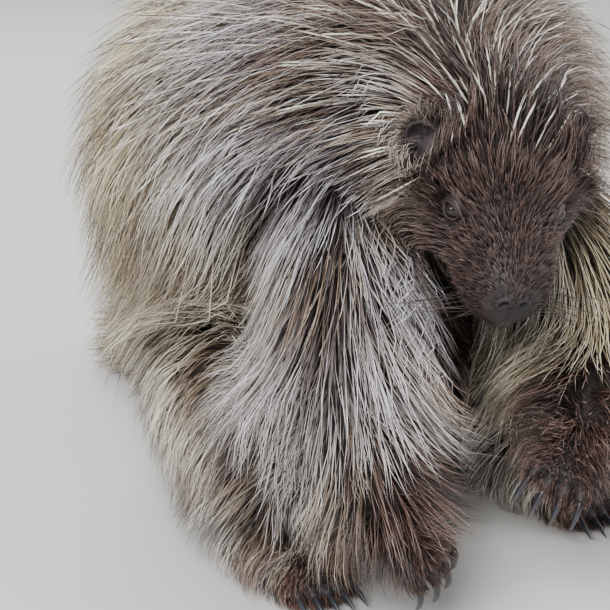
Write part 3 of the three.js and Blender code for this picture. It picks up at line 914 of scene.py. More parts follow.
    def whorl(self, side: Side) -> "Whorl":
        """Says how the hair turns round an ear: up over it, back and down behind it."""
        ear = self.ears[side]
        middle = moved(ear.centre[None], self.place)[0]
        turn = np.array(self.place.to_3x3())
        outwards = unit(turn @ side.place(self.whorl_axis))
        return Whorl(tuple(middle), tuple(-side.value * outwards))

    def clear(self) -> list[tuple[Array, float]]:
        """Lists the places that hair keeps off: balls in the world, with their radius."""
        made: list[tuple[Array, float]] = []
        for side in Side:
            eye, ear = self.eyes[side], self.ears[side]
            cup = ear.centre + ear.ahead * self.ear_ball[0] + np.array((0, 0, self.ear_ball_up))
            spots = (
                (eye.centre + eye.axes()[0] * self.eye_ball[0], self.eye_ball[1]),
                (cup, self.ear_ball[1]),
                (side.place(self.nostril), self.nostril_ball),
            )
            made += [(moved(spot[None], self.place)[0], radius) for spot, radius in spots]
        return made

    def bareness(self, points: Array) -> Array:
        """Says how bare the skin of the nose is at points in the world."""
        snout = moved(np.array(self.nose)[None], self.place)[0]
        return smoothstep(*self.bare_nose, np.linalg.norm(points - snout, axis=1))


@dataclass
class Whiskers:
    """Whiskers in rows on both sides of the muzzle, which bend back and down. Lengths are in millimetres.

    Rows are degrees above the muzzle's middle, and `span` how far along the head they stand. `spread` is by
    how much they stray along the head and round it. The front ones are shorter: `shortening` is the share
    that is lost, where that starts and over how much of the head.
    """

    face: Face
    rows: Row = (-4.0, 10.0, 24.0)
    span: Row = (0.74, 0.92)
    per_row: int = 5
    length: float = 42.0
    width: float = 0.55
    spread: Row = (0.006, 2.5)
    sway: float = 0.08
    ahead: Row = (0.0, -0.5, 0.0)
    ahead_per_row: float = 0.25
    bend: Row = (0.0, 0.55, -0.45)
    bend_per_row: float = -0.1
    curve: float = 0.6
    lengths: Row = (0.55, 1.0)
    back_length: float = 1.3
    above: float = 5.0
    across: Row = (0.0, 0.3, 1.0)
    shortening: Row = (0.6, 0.75, 0.2)
    points: int = 7
    seed: int = 5

    def trace(self) -> tuple[Array, Array]:
        """Traces them.

        Returns:
            The points of each whisker in the world, and a way across each.
        """
        rng = np.random.default_rng(self.seed)
        local, shrink = self.face.local(), -self.face.shrink
        loss, start, over = self.shortening
        share = np.linspace(0, 1, self.points)[:, None]
        paths = []
        for side in Side:
            for row, low in enumerate(self.rows):
                for t in np.linspace(*self.span, self.per_row) + rng.normal(0, self.spread[0], self.per_row):
                    turn = -low if side is Side.LEFT else 180.0 + low
                    turn += rng.normal(0, self.spread[1])
                    place, angle = np.array([t]), np.array([turn])
                    root = local.surface(place, angle, shrink)[0]
                    out = unit(local.surface(place, angle, self.above)[0] - root)
                    lean = np.array(self.ahead) + (0.0, self.ahead_per_row * row, 0.0)
                    heading = unit(out + lean + rng.normal(0, self.sway, 3))
                    fall = np.array(self.bend) + (0.0, 0.0, self.bend_per_row * row)
                    bend = fall + rng.normal(0, self.sway, 3)
                    length = self.length * rng.uniform(*self.lengths)
                    length = length * (self.back_length - loss * (t - start) / over)
                    paths.append(root + length * (heading * share + bend * share**2 * self.curve))
        made = np.array(paths)
        across = np.broadcast_to(np.array(self.across), made.shape)
        return moved(made.reshape(-1, 3), self.face.place).reshape(made.shape), across

    def build(self) -> bpy.types.Object:
        """Builds them as one piece."""
        paths, outs = self.trace()
        count = len(paths)
        hair = Hair("whiskers", "face_fur", count, self.points, self.width, flat=1.0)
        plain = np.zeros(count)
        values = {"tone": plain + 0.5, "silver": plain, "brown": plain + 1, "dark": plain + 1}
        spots = np.stack([np.linspace(0.1, 0.9, count), plain + 0.5], axis=1)
        return strands(hair.name, hair, paths, outs, plain + self.width, values, spots)


@dataclass(frozen=True)
class Toes:
    """Digits and claws of a paw, in millimetres and degrees.

    Girths run along the digit or the claw as shares of its radius. The digit's skin ends at `skin_end` of the
    line, the claw starts at `claw_start`, and each pad is a place on the line, how far it lies below, and its
    half sizes.
    """

    count: int
    spread: float
    claw: float
    bend: float
    claw_bend: float
    digit: float = 15.0
    radius: float = 5.0
    claw_radius: float = 2.8
    skin_end: float = 0.44
    claw_start: float = 0.33
    set_back: float = 5.0
    outer_set_back: float = 4.0
    girth: Sequence[Row] = ((0, 0.9), (0.35, 0.88), (0.5, 0.96), (0.8, 0.8), (0.95, 0.66), (1, 0.4))
    claw_girth: Sequence[Row] = ((0, 0.8), (0.12, 1), (0.5, 0.8), (0.85, 0.4), (0.96, 0.2), (1, 0.07))
    narrow: float = 0.92
    claw_narrow: float = 0.74
    rings: int = 12
    sides: int = 14
    pad_fine: int = 16
    pads: Sequence[tuple[float, float, Row]] = ((0.33, 2.0, (3.6, 3.6, 3.2)), (0.08, 3.0, (4.6, 4.6, 3.6)))


FORE_TOES = Toes(4, 0.3, 21.0, 22.0, 20.0)
HIND_TOES = Toes(5, 0.16, 18.0, 4.0, 8.0)


@dataclass
class Paw:
    """A paw with its digits and claws.

    `down` is the way its soles face, its own under side where that is None.
    """

    flesh: Flesh
    toes: Toes
    down: Array | None = None
    shrink: float = 0.9
    voxel: float = 1.0
    rings: int = 28
    sides: int = 32
    soften: int = 3

    def digits(self) -> list[tuple[Array, Array]]:
        """Gives the bent line of each digit with its claw, and the way that its back faces."""
        s = self.flesh.stations(np.array([1.0]))
        centre, along, side, up, size = (v[0] for v in (s.centre, s.along, s.side, s.up, s.size))
        down = -up if self.down is None else self.down
        toes = self.toes
        made = []
        for place in np.linspace(-1, 1, toes.count):
            back = -toes.set_back - toes.outer_set_back * place**2
            spot = centre + side * place * (size[0] - toes.radius) + along * back
            heading = unit(along + side * place * toes.spread)
            across = unit(np.cross(heading, down))
            line = [spot]
            for step, turn in [(toes.digit / 2, toes.bend)] * 2 + [(toes.claw / 3, toes.claw_bend)] * 3:
                line.append(line[-1] + heading * step)
                angle = math.radians(turn)
                heading = heading * math.cos(angle) + np.cross(across, heading) * math.sin(angle)
            made.append((np.array(line), -down))
        return made

    def forms(self) -> list[Form]:
        """Builds the closed forms that melt into the paw."""
        made: list[Form] = [self.flesh.mesh(self.rings, self.sides, self.shrink)]
        toes = self.toes
        share = np.linspace(0, 1, toes.rings)
        girth = toes.radius * np.interp(share, *zip(*toes.girth))
        for line, back in self.digits():
            path = spline(line, share * toes.skin_end)
            made.append(tube(path, np.stack([girth * toes.narrow, girth], axis=1), toes.sides, back))
            for place, below, half in toes.pads:
                spot = spline(line, np.array([place]))[0] - back * below
                made.append(ellipsoid(spot, half, toes.pad_fine))
        return made

    def build(self) -> Form:
        """Builds the paw's skin, in the world."""
        points, faces = fused(self.forms(), self.voxel, self.soften)
        points[:, 2] = np.maximum(points[:, 2], SKIN_FLOOR)
        return points, faces

    def claws(self, rings: int = 18, sides: int = 16) -> list[Form]:
        """Builds the curved horn of each digit, deeper than it is wide and blunt at its end."""
        made = []
        toes = self.toes
        share = np.linspace(0, 1, rings)
        deep = toes.claw_radius * np.interp(share, *zip(*toes.claw_girth))
        for line, back in self.digits():
            path = spline(line, toes.claw_start + (1 - toes.claw_start) * share)
            points, faces = tube(path, np.stack([deep * toes.claw_narrow, deep], axis=1), sides, back)
            points[:, 2] = np.maximum(points[:, 2], SKIN_FLOOR)
            made.append((points, faces))
        return made


def claws(paws: Sequence[Paw], rings: int = 18, sides: int = 16) -> bpy.types.Object:
    """Builds the claws of all paws as one piece."""
    parts = [part for paw in paws for part in paw.claws(rings, sides)]
    piece = mesh_object("claws", *joined_parts(parts))
    floats(piece, along=np.tile(np.repeat(np.linspace(0, 1, rings), sides), len(parts)))
    return piece


@dataclass
class Skin:
    """One skin over the whole body, with the head, ears, lids and paws in finer faces."""

    anatomy: Anatomy
    face: Face
    paws: Sequence[Paw]
    voxel: float = 3.6
    shrink: float = 0.8
    rings: int = 40
    sides: int = 48
    soften: int = 4

    def build(self) -> bpy.types.Object:
        """Builds the skin."""
        coarse = [stretch for stretch in self.anatomy.stretches() if stretch.region not in FINE]
        body = [stretch.mesh(self.rings, self.sides, self.shrink) for stretch in coarse]
        points, faces = fused(body, self.voxel, self.soften)
        points[:, 2] = np.maximum(points[:, 2], SKIN_FLOOR)
        parts = [(points, faces), *self.face.build(), *(paw.build() for paw in self.paws)]
        return mesh_object("skin", *joined_parts(parts))

    def mark(self, piece: bpy.types.Object, nap: "Nap") -> None:
        """Stores on the skin the same markings as the hair has, and where it is bare."""
        points = points_of(piece.data)
        places = nap.read(points)
        marks = Pattern().at(points, places, nap)
        paws = nap.on(places, Region.FOREPAW, Region.HIND_FOOT) * 1.0
        bare = np.maximum(paws, self.face.bareness(points))
        floats(piece, brown=marks.brown, silver=marks.silver, bare=bare)


@dataclass(frozen=True)
class Places:
    """What the coat does at each of several places, and which stretch is nearest.

    `gap` is how far the place is outside the nearest flesh, and `rise` how far it is above a soft hull that
    bridges the creases between the stretches.
    """

    gap: Array
    rise: Array
    out: Array
    lie: Array
    coat: Array
    nearest: Array
    t: Array
    degrees: Array


@dataclass(frozen=True)
class Whorl:
    """A place that the hair turns round, such as an ear: it flows away from the middle and round an axis."""

    middle: Row
    axis: Row
    radius: float = 36.0
    away: float = 0.9
    around: float = 1.5

    def turn(self, points: Array) -> Array:
        """Gives what the whorl adds to the lie at points in the world, in millimetres."""
        axis = np.array(self.axis)
        from_middle = points - np.array(self.middle)
        far = np.linalg.norm(from_middle, axis=1)
        flat = unit(from_middle - (from_middle @ axis)[:, None] * axis)
        share = np.exp(-((far / self.radius) ** 2))[:, None]
        return share * (self.away * flat + self.around * np.cross(axis, flat))


@dataclass
class Nap:
    """Says, anywhere round the body, which way is out, which way the hair lies and how deep the coat is."""

    stretches: Sequence[Flesh]
    whorls: Sequence[Whorl] = ()
    blend: float = 11.0
    bridge: float = 22.0
    reach: float = 60.0
    chunk: int = 30_000
    rough_count: int = 7
    ear_blend: float = 3.0
    blend_span: Row = (-40.0, 200.0)
    bridge_span: Row = (-60.0, 300.0)

    def on(self, places: Places, *regions: Region) -> Array:
        """Says where the nearest stretch is one of these regions."""
        return np.array([stretch.region in regions for stretch in self.stretches])[places.nearest]

    def rough(self, points: Array) -> Array:
        """Gives a rough distance from each stretch to each point."""
        made = []
        for stretch in self.stretches:
            s = stretch.stations(np.linspace(0, 1, self.rough_count))
            away = np.linalg.norm(points[:, None] - s.centre[None], axis=2) - s.size.mean(axis=1)
            made.append(away.min(axis=1))
        return np.array(made)

    def read(self, points: Array) -> Places:
        """Reads the nap at points.

        Args:
            points: Places in millimetres.

        Returns:
            The nap there.
        """
        parts = [self._read(points[i:i + self.chunk]) for i in range(0, len(points), self.chunk)]
        keys = [own.name for own in fields(Places)]
        return Places(*(np.concatenate([getattr(part, key) for part in parts]) for key in keys))

    def _read(self, points: Array) -> Places:
        """Reads the nap at one lot of points."""
        rough = self.rough(points)
        floor = rough.min(axis=0)
        count = len(points)
        total, coat = np.zeros(count), np.zeros(count)
        out, lie = np.zeros((count, 3)), np.zeros((count, 3))
        gap, t, degrees = np.full(count, np.inf), np.zeros(count), np.zeros(count)
        nearest, bridged = np.zeros(count, int), np.zeros(count)
        for i, stretch in enumerate(self.stretches):
            use = np.nonzero(rough[i] < floor + self.reach)[0]
            if not len(use):
                continue
            near = stretch.nearest(points[use])
            blend = self.blend if stretch.region is not Region.EAR else self.blend / self.ear_blend
            weight = np.exp(-np.clip(near.gap - floor[use], *self.blend_span) / blend)
            total[use] += weight
            if stretch.region is not Region.EAR:
                bridged[use] += np.exp(-np.clip(near.gap - floor[use], *self.bridge_span) / self.bridge)
            coat[use] += weight * near.coat
            out[use] += weight[:, None] * near.out
            lie[use] += weight[:, None] * near.lie
            better = near.gap < gap[use]
            chosen = use[better]
            gap[chosen], t[chosen], degrees[chosen] = near.gap[better], near.t[better], near.degrees[better]
            nearest[chosen] = i
        out = unit(out)
        lie /= total[:, None]
        for whorl in self.whorls:
            lie += whorl.turn(points)
        lie = unit(lie - out * (lie * out).sum(axis=1, keepdims=True))
        rise = floor - self.bridge * np.log(np.maximum(bridged, 1e-9))
        ears = np.array([stretch.region is Region.EAR for stretch in self.stretches])
        rise = np.where(ears[nearest], gap, np.minimum(rise, gap))
        return Places(gap, rise, out, lie, coat / total, nearest, t, degrees)


@dataclass(frozen=True)
class Marks:
    """Shares of the coat's colours: silver and brown, straw for the rest, and how dark the brown is, which is
    painted shade on the chest and inner arms, and on the face partly its own dark colour, partly painted
    shade.
    """

    silver: Array
    brown: Array
    dark: Array


@dataclass(frozen=True)
class Pattern:
    """The coat's colours by place, with painted shade on the chest and inner arms and, over its own dark
    colour,
    on the face: the spans over which each comes in, and its share.

    Spans are millimetres along an axis or from the crown, or degrees round the body. Where the first number
    is the greater, the colour comes in the other way.
    """

    crown: Row = (-8.0, -172.0, 300.0)
    belly_front: Row = (-20.0, -70.0)
    belly_back: Row = (-170.0, -110.0)
    belly: float = 0.8
    # Painted shade: the chest and belly under the bent head are darkened.
    belly_dark: float = 0.7
    nape_far: Row = (105.0, 55.0)
    nape_shape: Row = (1.0, 0.8, 0.8)
    nape_side: Row = (-48.0, -18.0)
    nape: float = 0.85
    nape_dark: float = 0.25
    arm_inner: Row = (122.0, 98.0)
    # Painted shade: the inner arms, where they face the body, are darkened.
    arm_dark: float = 0.35
    foot_front: Row = (-128.0, -158.0)
    tail: float = 0.5
    blotch_size: float = 34.0
    blotch_edge: Row = (0.05, 0.45)
    blotch: float = 0.85
    ear_side: Row = (-30.0, -50.0)
    ear_back: Row = (-208.0, -188.0)
    ear: float = 0.6
    face_front: Row = (-180.0, -210.0)
    # The face's own dark colour, deepened by painted shade.
    face_dark: float = 0.8
    low: Row = (200.0, 70.0)
    low_silver: float = 0.6
    front: Row = (-40.0, -140.0)
    front_silver: float = 0.8
    front_left: Row = (0.0, 60.0)
    front_left_loss: float = 0.7
    mantle: Row = (165.0, 95.0)
    mantle_silver: float = 0.95
    mantle_left: Row = (20.0, 80.0)
    mantle_left_loss: float = 0.85

    def at(self, points: Array, places: Places, nap: Nap) -> Marks:
        """Works out the coat's colours and the painted shade that darkens them, for the skin and the hair
        alike.

        Args:
            points: Places in millimetres.
            places: What the nap reads there.
            nap: The nap.

        Returns:
            The share of each colour, and of the dark that is partly painted shade.
        """
        x, y, z = points.T
        trunk, head = nap.on(places, Region.TORSO, Region.NECK), nap.on(places, Region.HEAD, Region.EAR)
        arm, tail = nap.on(places, Region.FOREARM, Region.FOREPAW), nap.on(places, Region.TAIL)
        belly = smoothstep(*self.belly_front, places.degrees) * smoothstep(*self.belly_back, places.degrees)
        belly = belly * trunk
        from_crown = points - self.crown
        nape = smoothstep(*self.nape_far, np.linalg.norm(from_crown * self.nape_shape, axis=1)) * trunk
        nape = nape * smoothstep(*self.nape_side, x)
        inner = smoothstep(*self.arm_inner, np.abs(x))
        patch = np.array([noise.noise(Vector(point / self.blotch_size)) for point in points])
        blotch = smoothstep(*self.blotch_edge, patch) * self.blotch
        by_ear = smoothstep(*self.ear_side, x) * smoothstep(*self.ear_back, y)
        foot = nap.on(places, Region.HIND_FOOT) * smoothstep(*self.foot_front, y)
        brown = np.maximum.reduce([
            arm * inner, foot, head * (1 - self.ear * by_ear), belly * self.belly, nape * self.nape,
            tail * self.tail, blotch,
        ])
        brown = np.clip(brown, 0, 1)
        # The dark share: painted shade on the chest and inner arms, and on the face its own dark colour with
        # painted shade.
        dark = head * smoothstep(*self.face_front, y) * self.face_dark + belly * self.belly_dark
        dark = np.clip(dark + arm * inner * self.arm_dark + nape * self.nape_dark, 0, 1)
        low = smoothstep(*self.low, z) * self.low_silver * ~tail
        front = self.front_silver - self.front_left_loss * smoothstep(*self.front_left, x)
        front = smoothstep(*self.front, y) * front
        mantle = smoothstep(*self.mantle, np.linalg.norm(from_crown, axis=1))
        mantle = mantle * (1 - self.mantle_left_loss * smoothstep(*self.mantle_left, x))
        silver = np.maximum.reduce([low, mantle * self.mantle_silver, front])
        return Marks(np.clip(silver, 0, 1) * (1 - brown), brown, dark)


@dataclass(frozen=True)
class Hair:
    """One kind of hair: sizes in millimetres, shares of the coat's depth, and degrees.

    Its length is `base` and `per_coat` for each millimetre of coat, and its tip stands `reach` of the coat
    high, or of `lift` where the coat is thinner. `sway` is by how much it strays and `droop` how much its tip
    falls. It starts `sunk` into the skin, and `settle` is the share of a crease between stretches that it
    evens out. `clump` draws it to its lock, of `spacing` hairs, and `alike` gives it that lock's tone. `flat`
    is its thickness as a share of its width, and `shape` its girth along its length. It grows where the coat
    is between `least` and `most` deep, on `only` those regions where any are named. `pale` is the share of
    brown that turns silver on it.
    """

    name: str
    slot: str
    count: int
    points: int
    width: float
    base: float = 0.0
    per_coat: float = 0.0
    reach: Row = (0.0, 0.0)
    sway: float = 0.0
    clump: float = 0.0
    spacing: float = 1.0
    droop: float = 0.35
    flat: float = 0.62
    sides: int = 3
    shape: Sequence[Row] = ((0.0, 0.55), (0.25, 0.9), (0.6, 1.0), (0.85, 0.62), (1.0, 0.25))
    least: float = 6.0
    most: float = 1e9
    sunk: float = 1.5
    settle: float = 1.0
    alike: float = 0.6
    lift: float = 0.0
    pale: float = 0.0
    only: Sequence[Region] = ()

    def chance(self, coat: Array) -> Array:
        """How thickly this kind grows where the coat has that depth."""
        deep = smoothstep(self.least - 2, self.least + 2, coat)
        return deep * smoothstep(self.most + 3, self.most - 1, coat)


BACK = (Region.TORSO, Region.NECK, Region.HEAD)
# Real guard hairs are about 0.1 mm thick and fur 0.03 mm. They are drawn thicker, so that they show.
GUARD = Hair(
    "guard", "guard_hair", count=41_000, points=5, width=0.72, base=12.0, per_coat=1.6, reach=(0.6, 1.02),
    sway=6.5, clump=0.5, spacing=9.0, droop=0.2,
)
AWN = Hair(
    "awn", "guard_hair", count=2_600, points=5, width=0.85, base=24.0, per_coat=1.7, reach=(0.72, 0.98),
    sway=8.0, droop=0.25, least=28.0, pale=0.75, only=BACK,
)
WOOL = Hair(
    "wool", "guard_hair", count=6_000, points=4, width=1.6, base=8.0, per_coat=0.8, reach=(0.25, 0.5),
    sway=16.0, clump=0.3, spacing=5.0,
)
FUR = Hair(
    "fur", "face_fur", count=34_000, points=3, width=0.6, base=4.5, per_coat=0.9, reach=(0.5, 1.0), sway=12.0,
    clump=0.25, spacing=5.0, most=16.0, least=0.0, sunk=0.7, settle=0.0, alike=0.3, lift=6.5,
)
QUILL = Hair(
    "quill", "guard_hair", count=1_900, points=5, width=1.2, base=20.0, per_coat=1.0, reach=(0.65, 1.0),
    sway=10.0, flat=1.0, sides=4, shape=((0, 0.5), (0.15, 1), (0.7, 0.9), (1, 0.15)), least=22.0, only=BACK,
)


@dataclass
class Coat:
    """Grows solid hairs over the skin and parts them into pieces.

    No hair grows in the `keep_off` balls, where the skin is `buried` in another stretch, faces less than
    `facing` the way out, or is lower than `low`. `steepness` is how flat and how steep it may run against the
    skin, and `arch` how much it stands up early on its way. Locks pull more the nearer their middle is, from
    nothing to all over `lock_size`. Sizes are in millimetres.
    """

    nap: Nap
    keep_off: Sequence[tuple[Array, float]]
    seed: int = 7
    buried: float = -7.0
    facing: float = 0.1
    low: float = 2.5
    rooted: float = 0.9
    lengths: Row = (0.72, 1.12)
    widths: Row = (0.75, 1.2)
    curl: float = 0.5
    most_sunk: float = 0.1
    steepness: Row = (-0.25, 0.93)
    arch: float = 0.3
    lowest: float = 1.6
    lock_bend: float = 1.4
    lock_pull: Row = (0.35, 1.0)
    lock_size: Row = (14.0, 26.0)
    triangles: Array = field(init=False, repr=False)
    places: Places = field(init=False, repr=False)
    area: Array = field(init=False, repr=False)

    def read(self, skin: bpy.types.Object) -> None:
        """Reads the skin's triangles, with the nap and the area where hair may grow on each."""
        mesh = skin.data
        mesh.calc_loop_triangles()
        corners = np.empty(len(mesh.loop_triangles) * 3, int)
        mesh.loop_triangles.foreach_get("vertices", corners)
        self.triangles = points_of(mesh)[corners.reshape(-1, 3)]
        middle = self.triangles.mean(axis=1)
        edges = self.triangles[:, 1:] - self.triangles[:, :1]
        across = np.cross(edges[:, 0], edges[:, 1])
        self.places = self.nap.read(middle)
        facing = (unit(across) * self.places.out).sum(axis=1)
        bare = (self.places.gap < self.buried) | (facing < self.facing) | (middle[:, 2] < self.low)
        for centre, radius in self.keep_off:
            bare |= np.linalg.norm(middle - centre, axis=1) < radius * self.rooted
        self.area = np.where(bare, 0.0, np.linalg.norm(across, axis=1) / 2)

    def sow(self, hair: Hair, rng: np.random.Generator) -> Array:
        """Picks root points for one kind of hair, evenly over where it grows."""
        weight = self.area * hair.chance(self.places.coat)
        if hair.only:
            weight = weight * self.nap.on(self.places, *hair.only)
        edges = np.cumsum(weight)
        picks = (np.arange(hair.count) + rng.random(hair.count)) / hair.count * edges[-1]
        chosen = np.minimum(np.searchsorted(edges, picks), len(edges) - 1)
        u, v = rng.random((2, hair.count, 1))
        flip = u + v > 1
        u, v = np.where(flip, 1 - u, u), np.where(flip, 1 - v, v)
        a, b, c = (self.triangles[chosen, k] for k in range(3))
        return a + (b - a) * u + (c - a) * v

    def trace(self, hair: Hair, roots: Array, start: Places, rng: np.random.Generator) -> tuple[Array, Array]:
        """Runs each hair outwards through the nap.

        Args:
            hair: The kind of hair.
            roots: Where they grow.
            start: The nap at the roots.
            rng: Gives each its own bend.

        Returns:
            The points of each hair, and the way its flat face looks at each.
        """
        count, steps = len(roots), hair.points - 1
        long = np.array([stretch.long for stretch in self.nap.stretches])[start.nearest]
        length = (hair.base + hair.per_coat * start.coat) * long * rng.uniform(*self.lengths, count)
        goal = np.maximum(start.coat, hair.lift) * rng.uniform(*hair.reach, count)
        turn = np.radians(rng.normal(0, hair.sway, count))
        curl = np.radians(rng.normal(0, hair.sway * self.curl, count))
        sunk = np.minimum(hair.sunk, self.most_sunk * length)
        point, here = roots - start.out * sunk[:, None], start
        high = start.rise - sunk
        paths, outs = [point], [here.out]
        for j in range(steps):
            share = (j + 1) / steps
            step = length / steps
            arch = (1 + self.arch) * share - self.arch * share**2
            want = start.rise * (1 - share * hair.settle) + goal * arch
            rise = np.clip((want - high) / step, *self.steepness)
            angle = turn + curl * share
            across = np.cross(here.out, here.lie)
            lie = here.lie * np.cos(angle)[:, None] + across * np.sin(angle)[:, None]
            fall = DOWN + here.out * here.out[:, 2:3]
            lie = unit(lie + fall * (hair.droop * share))
            heading = lie * np.sqrt(1 - rise**2)[:, None] + here.out * rise[:, None]
            point = self.kept_off(point + heading * step[:, None])
            point[:, 2] = np.maximum(point[:, 2], self.lowest)
            paths.append(point)
            here = self.nap.read(point)
            high = here.rise
            outs.append(here.out)
        return np.stack(paths, axis=1), np.stack(outs, axis=1)

    def kept_off(self, points: Array) -> Array:
        """Pushes points out of the balls that hair keeps off."""
        points = points.copy()
        for centre, radius in self.keep_off:
            away = points - centre
            far = np.linalg.norm(away, axis=1)
            inside = far < radius
            points[inside] = centre + away[inside] / np.maximum(far[inside], 1e-6)[:, None] * radius
        return points

    def gather(self, hair: Hair, paths: Array, rng: np.random.Generator) -> tuple[Array, Array]:
        """Draws the tips of neighbouring hairs together into locks, and gives each a tone near its lock's."""
        own = rng.random(len(paths))
        if hair.clump <= 0:
            return paths, own
        picked = rng.permutation(len(paths))[: max(1, int(len(paths) / hair.spacing))]
        tree = KDTree(len(picked))
        for i, k in enumerate(picked):
            tree.insert(paths[k, 0], i)
        tree.balance()
        guide = picked[np.array([tree.find(p)[1] for p in paths[:, 0]])]
        share = np.linspace(0, 1, paths.shape[1]) ** self.lock_bend
        pull = hair.clump * rng.uniform(*self.lock_pull, len(paths))[:, None, None] * share[None, :, None]
        apart = np.linalg.norm(paths[guide, 0] - paths[:, 0], axis=1)
        pull = pull * (1 - smoothstep(*self.lock_size, apart))[:, None, None]
        tone = own + (own[guide] - own) * hair.alike
        return paths + (paths[guide] - paths) * pull, tone

    def grow(self, hair: Hair, seed: int) -> list[bpy.types.Object]:
        """Grows one kind of hair over the whole body, in a piece or more for each stretch.

        Args:
            hair: The kind of hair.
            seed: Starts its chances.

        Returns:
            The pieces.
        """
        rng = np.random.default_rng(self.seed + seed)
        roots = self.sow(hair, rng)
        start = self.nap.read(roots)
        paths, outs = self.trace(hair, roots, start, rng)
        paths, tone = self.gather(hair, paths, rng)
        paths[..., 2] = np.maximum(paths[..., 2], HAIR_FLOOR)
        marks = Pattern().at(roots, start, self.nap)
        width = hair.width * rng.uniform(*self.widths, len(roots))
        # dark is the near-black share: painted shade on the chest and inner arms, and on the face partly
        # painted shade.
        values = {
            "tone": tone, "silver": marks.silver + hair.pale * marks.brown,
            "brown": marks.brown * (1 - hair.pale), "dark": marks.dark * (1 - hair.pale),
        }
        place = np.stack([(start.degrees + 180) / 360, start.t], axis=1)
        per = 2 * hair.sides * (hair.points - 2) + 2 * hair.sides - 2
        most = MOST_TRIANGLES // per
        made = []
        for i, stretch in enumerate(self.nap.stretches):
            own = np.nonzero(start.nearest == i)[0]
            side = "" if stretch.region in TRUNK else "_left" if stretch.rows[0][0] > 0 else "_right"
            parts = -(-len(own) // most)
            for k in range(parts):
                use = own[k::parts]
                name = f"{hair.name}_{stretch.region.value}{side}" + (f"_{k + 1}" if parts > 1 else "")
                stored = {key: value[use] for key, value in values.items()}
                made.append(strands(name, hair, paths[use], outs[use], width[use], stored, place[use]))
        return made


def strands(
    name: str, hair: Hair, paths: Array, outs: Array, width: Array, values: dict[str, Array], place: Array
) -> bpy.types.Object:
    """Builds hairs as solid tapered blades, all in one mesh.

    Args:
        name: The piece's name.
        hair: The kind of hair.
        paths: Points of each hair, in millimetres.
        outs: The way each blade's flat face looks at each point.
        width: The greatest width of each.
        values: Numbers stored on each hair.
        place: Where each root is on the stretch's own unwrap, from 0 to 1.

    Returns:
        The piece.
    """
    count, rows, sides = paths.shape[0], paths.shape[1] - 1, hair.sides
    tangent = unit(np.gradient(paths, axis=1))
    side = unit(np.cross(outs, tangent))
    high = np.cross(tangent, side)
    share = np.linspace(0, 1, rows + 1)[:-1]
    shape = np.array(hair.shape)
    girth = width[:, None] / 2 * np.interp(share, shape[:, 0], shape[:, 1])[None]
    turn = np.radians(90 + np.arange(sides) * 360 / sides)
    wide = (girth[:, :, None] * np.cos(turn))[..., None] * side[:, :-1, None]
    deep = (girth[:, :, None] * np.sin(turn) * hair.flat)[..., None] * high[:, :-1, None]
    rings = (paths[:, :-1, None] + wide + deep).reshape(count, -1, 3)
    points = np.concatenate([rings, paths[:, -1:]], axis=1)
    per = rows * sides + 1
    around = np.arange(sides)
    nxt = (around + 1) % sides
    faces = [(0, k + 1, k) for k in range(1, sides - 1)]
    for i in range(rows - 1):
        for a, b in zip(around + i * sides, nxt + i * sides):
            faces += [(a, b, b + sides), (a, b + sides, a + sides)]
    faces += [(a + (rows - 1) * sides, b + (rows - 1) * sides, per - 1) for a, b in zip(around, nxt)]
    corners = (np.array(faces)[None] + (np.arange(count) * per)[:, None, None]).reshape(-1)
    mesh = bpy.data.meshes.new(name)
    mesh.vertices.add(count * per)
    mesh.vertices.foreach_set("co", (points * MM).astype(np.float32).ravel())
    mesh.loops.add(len(corners))
    mesh.loops.foreach_set("vertex_index", corners.astype(np.int32))
    mesh.polygons.add(len(corners) // 3)
    mesh.polygons.foreach_set("loop_start", np.arange(0, len(corners), 3, dtype=np.int32))
    mesh.update(calc_edges=True)
    mesh.polygons.foreach_set("use_smooth", np.ones(len(corners) // 3, bool))
    piece = bpy.data.objects.new(name, mesh)
    bpy.context.scene.collection.objects.link(piece)
    along = np.append(np.repeat(share, sides), 1.0)
    floats(piece, along=np.tile(along, count), **{key: np.repeat(v, per) for key, v in values.items()})
    cell = np.floor(np.clip(place, 0, 0.9999) / PATCH) * PATCH
    inside = np.stack([np.append(np.tile(around / sides, rows), 0.5), along], axis=1)
    inside = inside * PATCH * (1 - 2 * PATCH_EDGE) + PATCH * PATCH_EDGE
    spots = (cell[:, None] + inside[None]).reshape(-1, 2)[corners]
    mesh.uv_layers.new(name=BAKE_UV).data.foreach_set("uv", spots.astype(np.float32).ravel())
    return piece


def linear(colour: str) -> tuple[float, float, float, float]:
    """Turns an sRGB hex colour to linear light."""
    parts = [int(colour[i:i + 2], 16) / 255 for i in (1, 3, 5)]
    return (*(c / 12.92 if c <= 0.04045 else ((c + 0.055) / 1.055) ** 2.4 for c in parts), 1.0)


Stops = tuple[tuple[float, str], ...]


def add_node(
    tree: bpy.types.NodeTree, kind: str, inputs: dict | None = None, stops: Stops = (), **own
) -> bpy.types.Node:
    """Adds a node with its settings and links.

    Args:
        tree: The material's tree.
        kind: The node's type.
        inputs: A value, or the output that feeds it, for each input by name or number.
        stops: Places and sRGB colours of a ramp.
        own: The node's own settings.

    Returns:
        The node.
    """
    made = tree.nodes.new(kind)
    for key, value in own.items():
        setattr(made, key, value)
    for key, value in (inputs or {}).items():
        if isinstance(value, bpy.types.NodeSocket):
            tree.links.new(value, made.inputs[key])
        else:
            made.inputs[key].default_value = value
    if stops:
        ramp = made.color_ramp
        while len(ramp.elements) < len(stops):
            ramp.elements.new(1.0)
        for element, (place, colour) in zip(ramp.elements, stops):
            element.position, element.color = place, linear(colour)
    return made


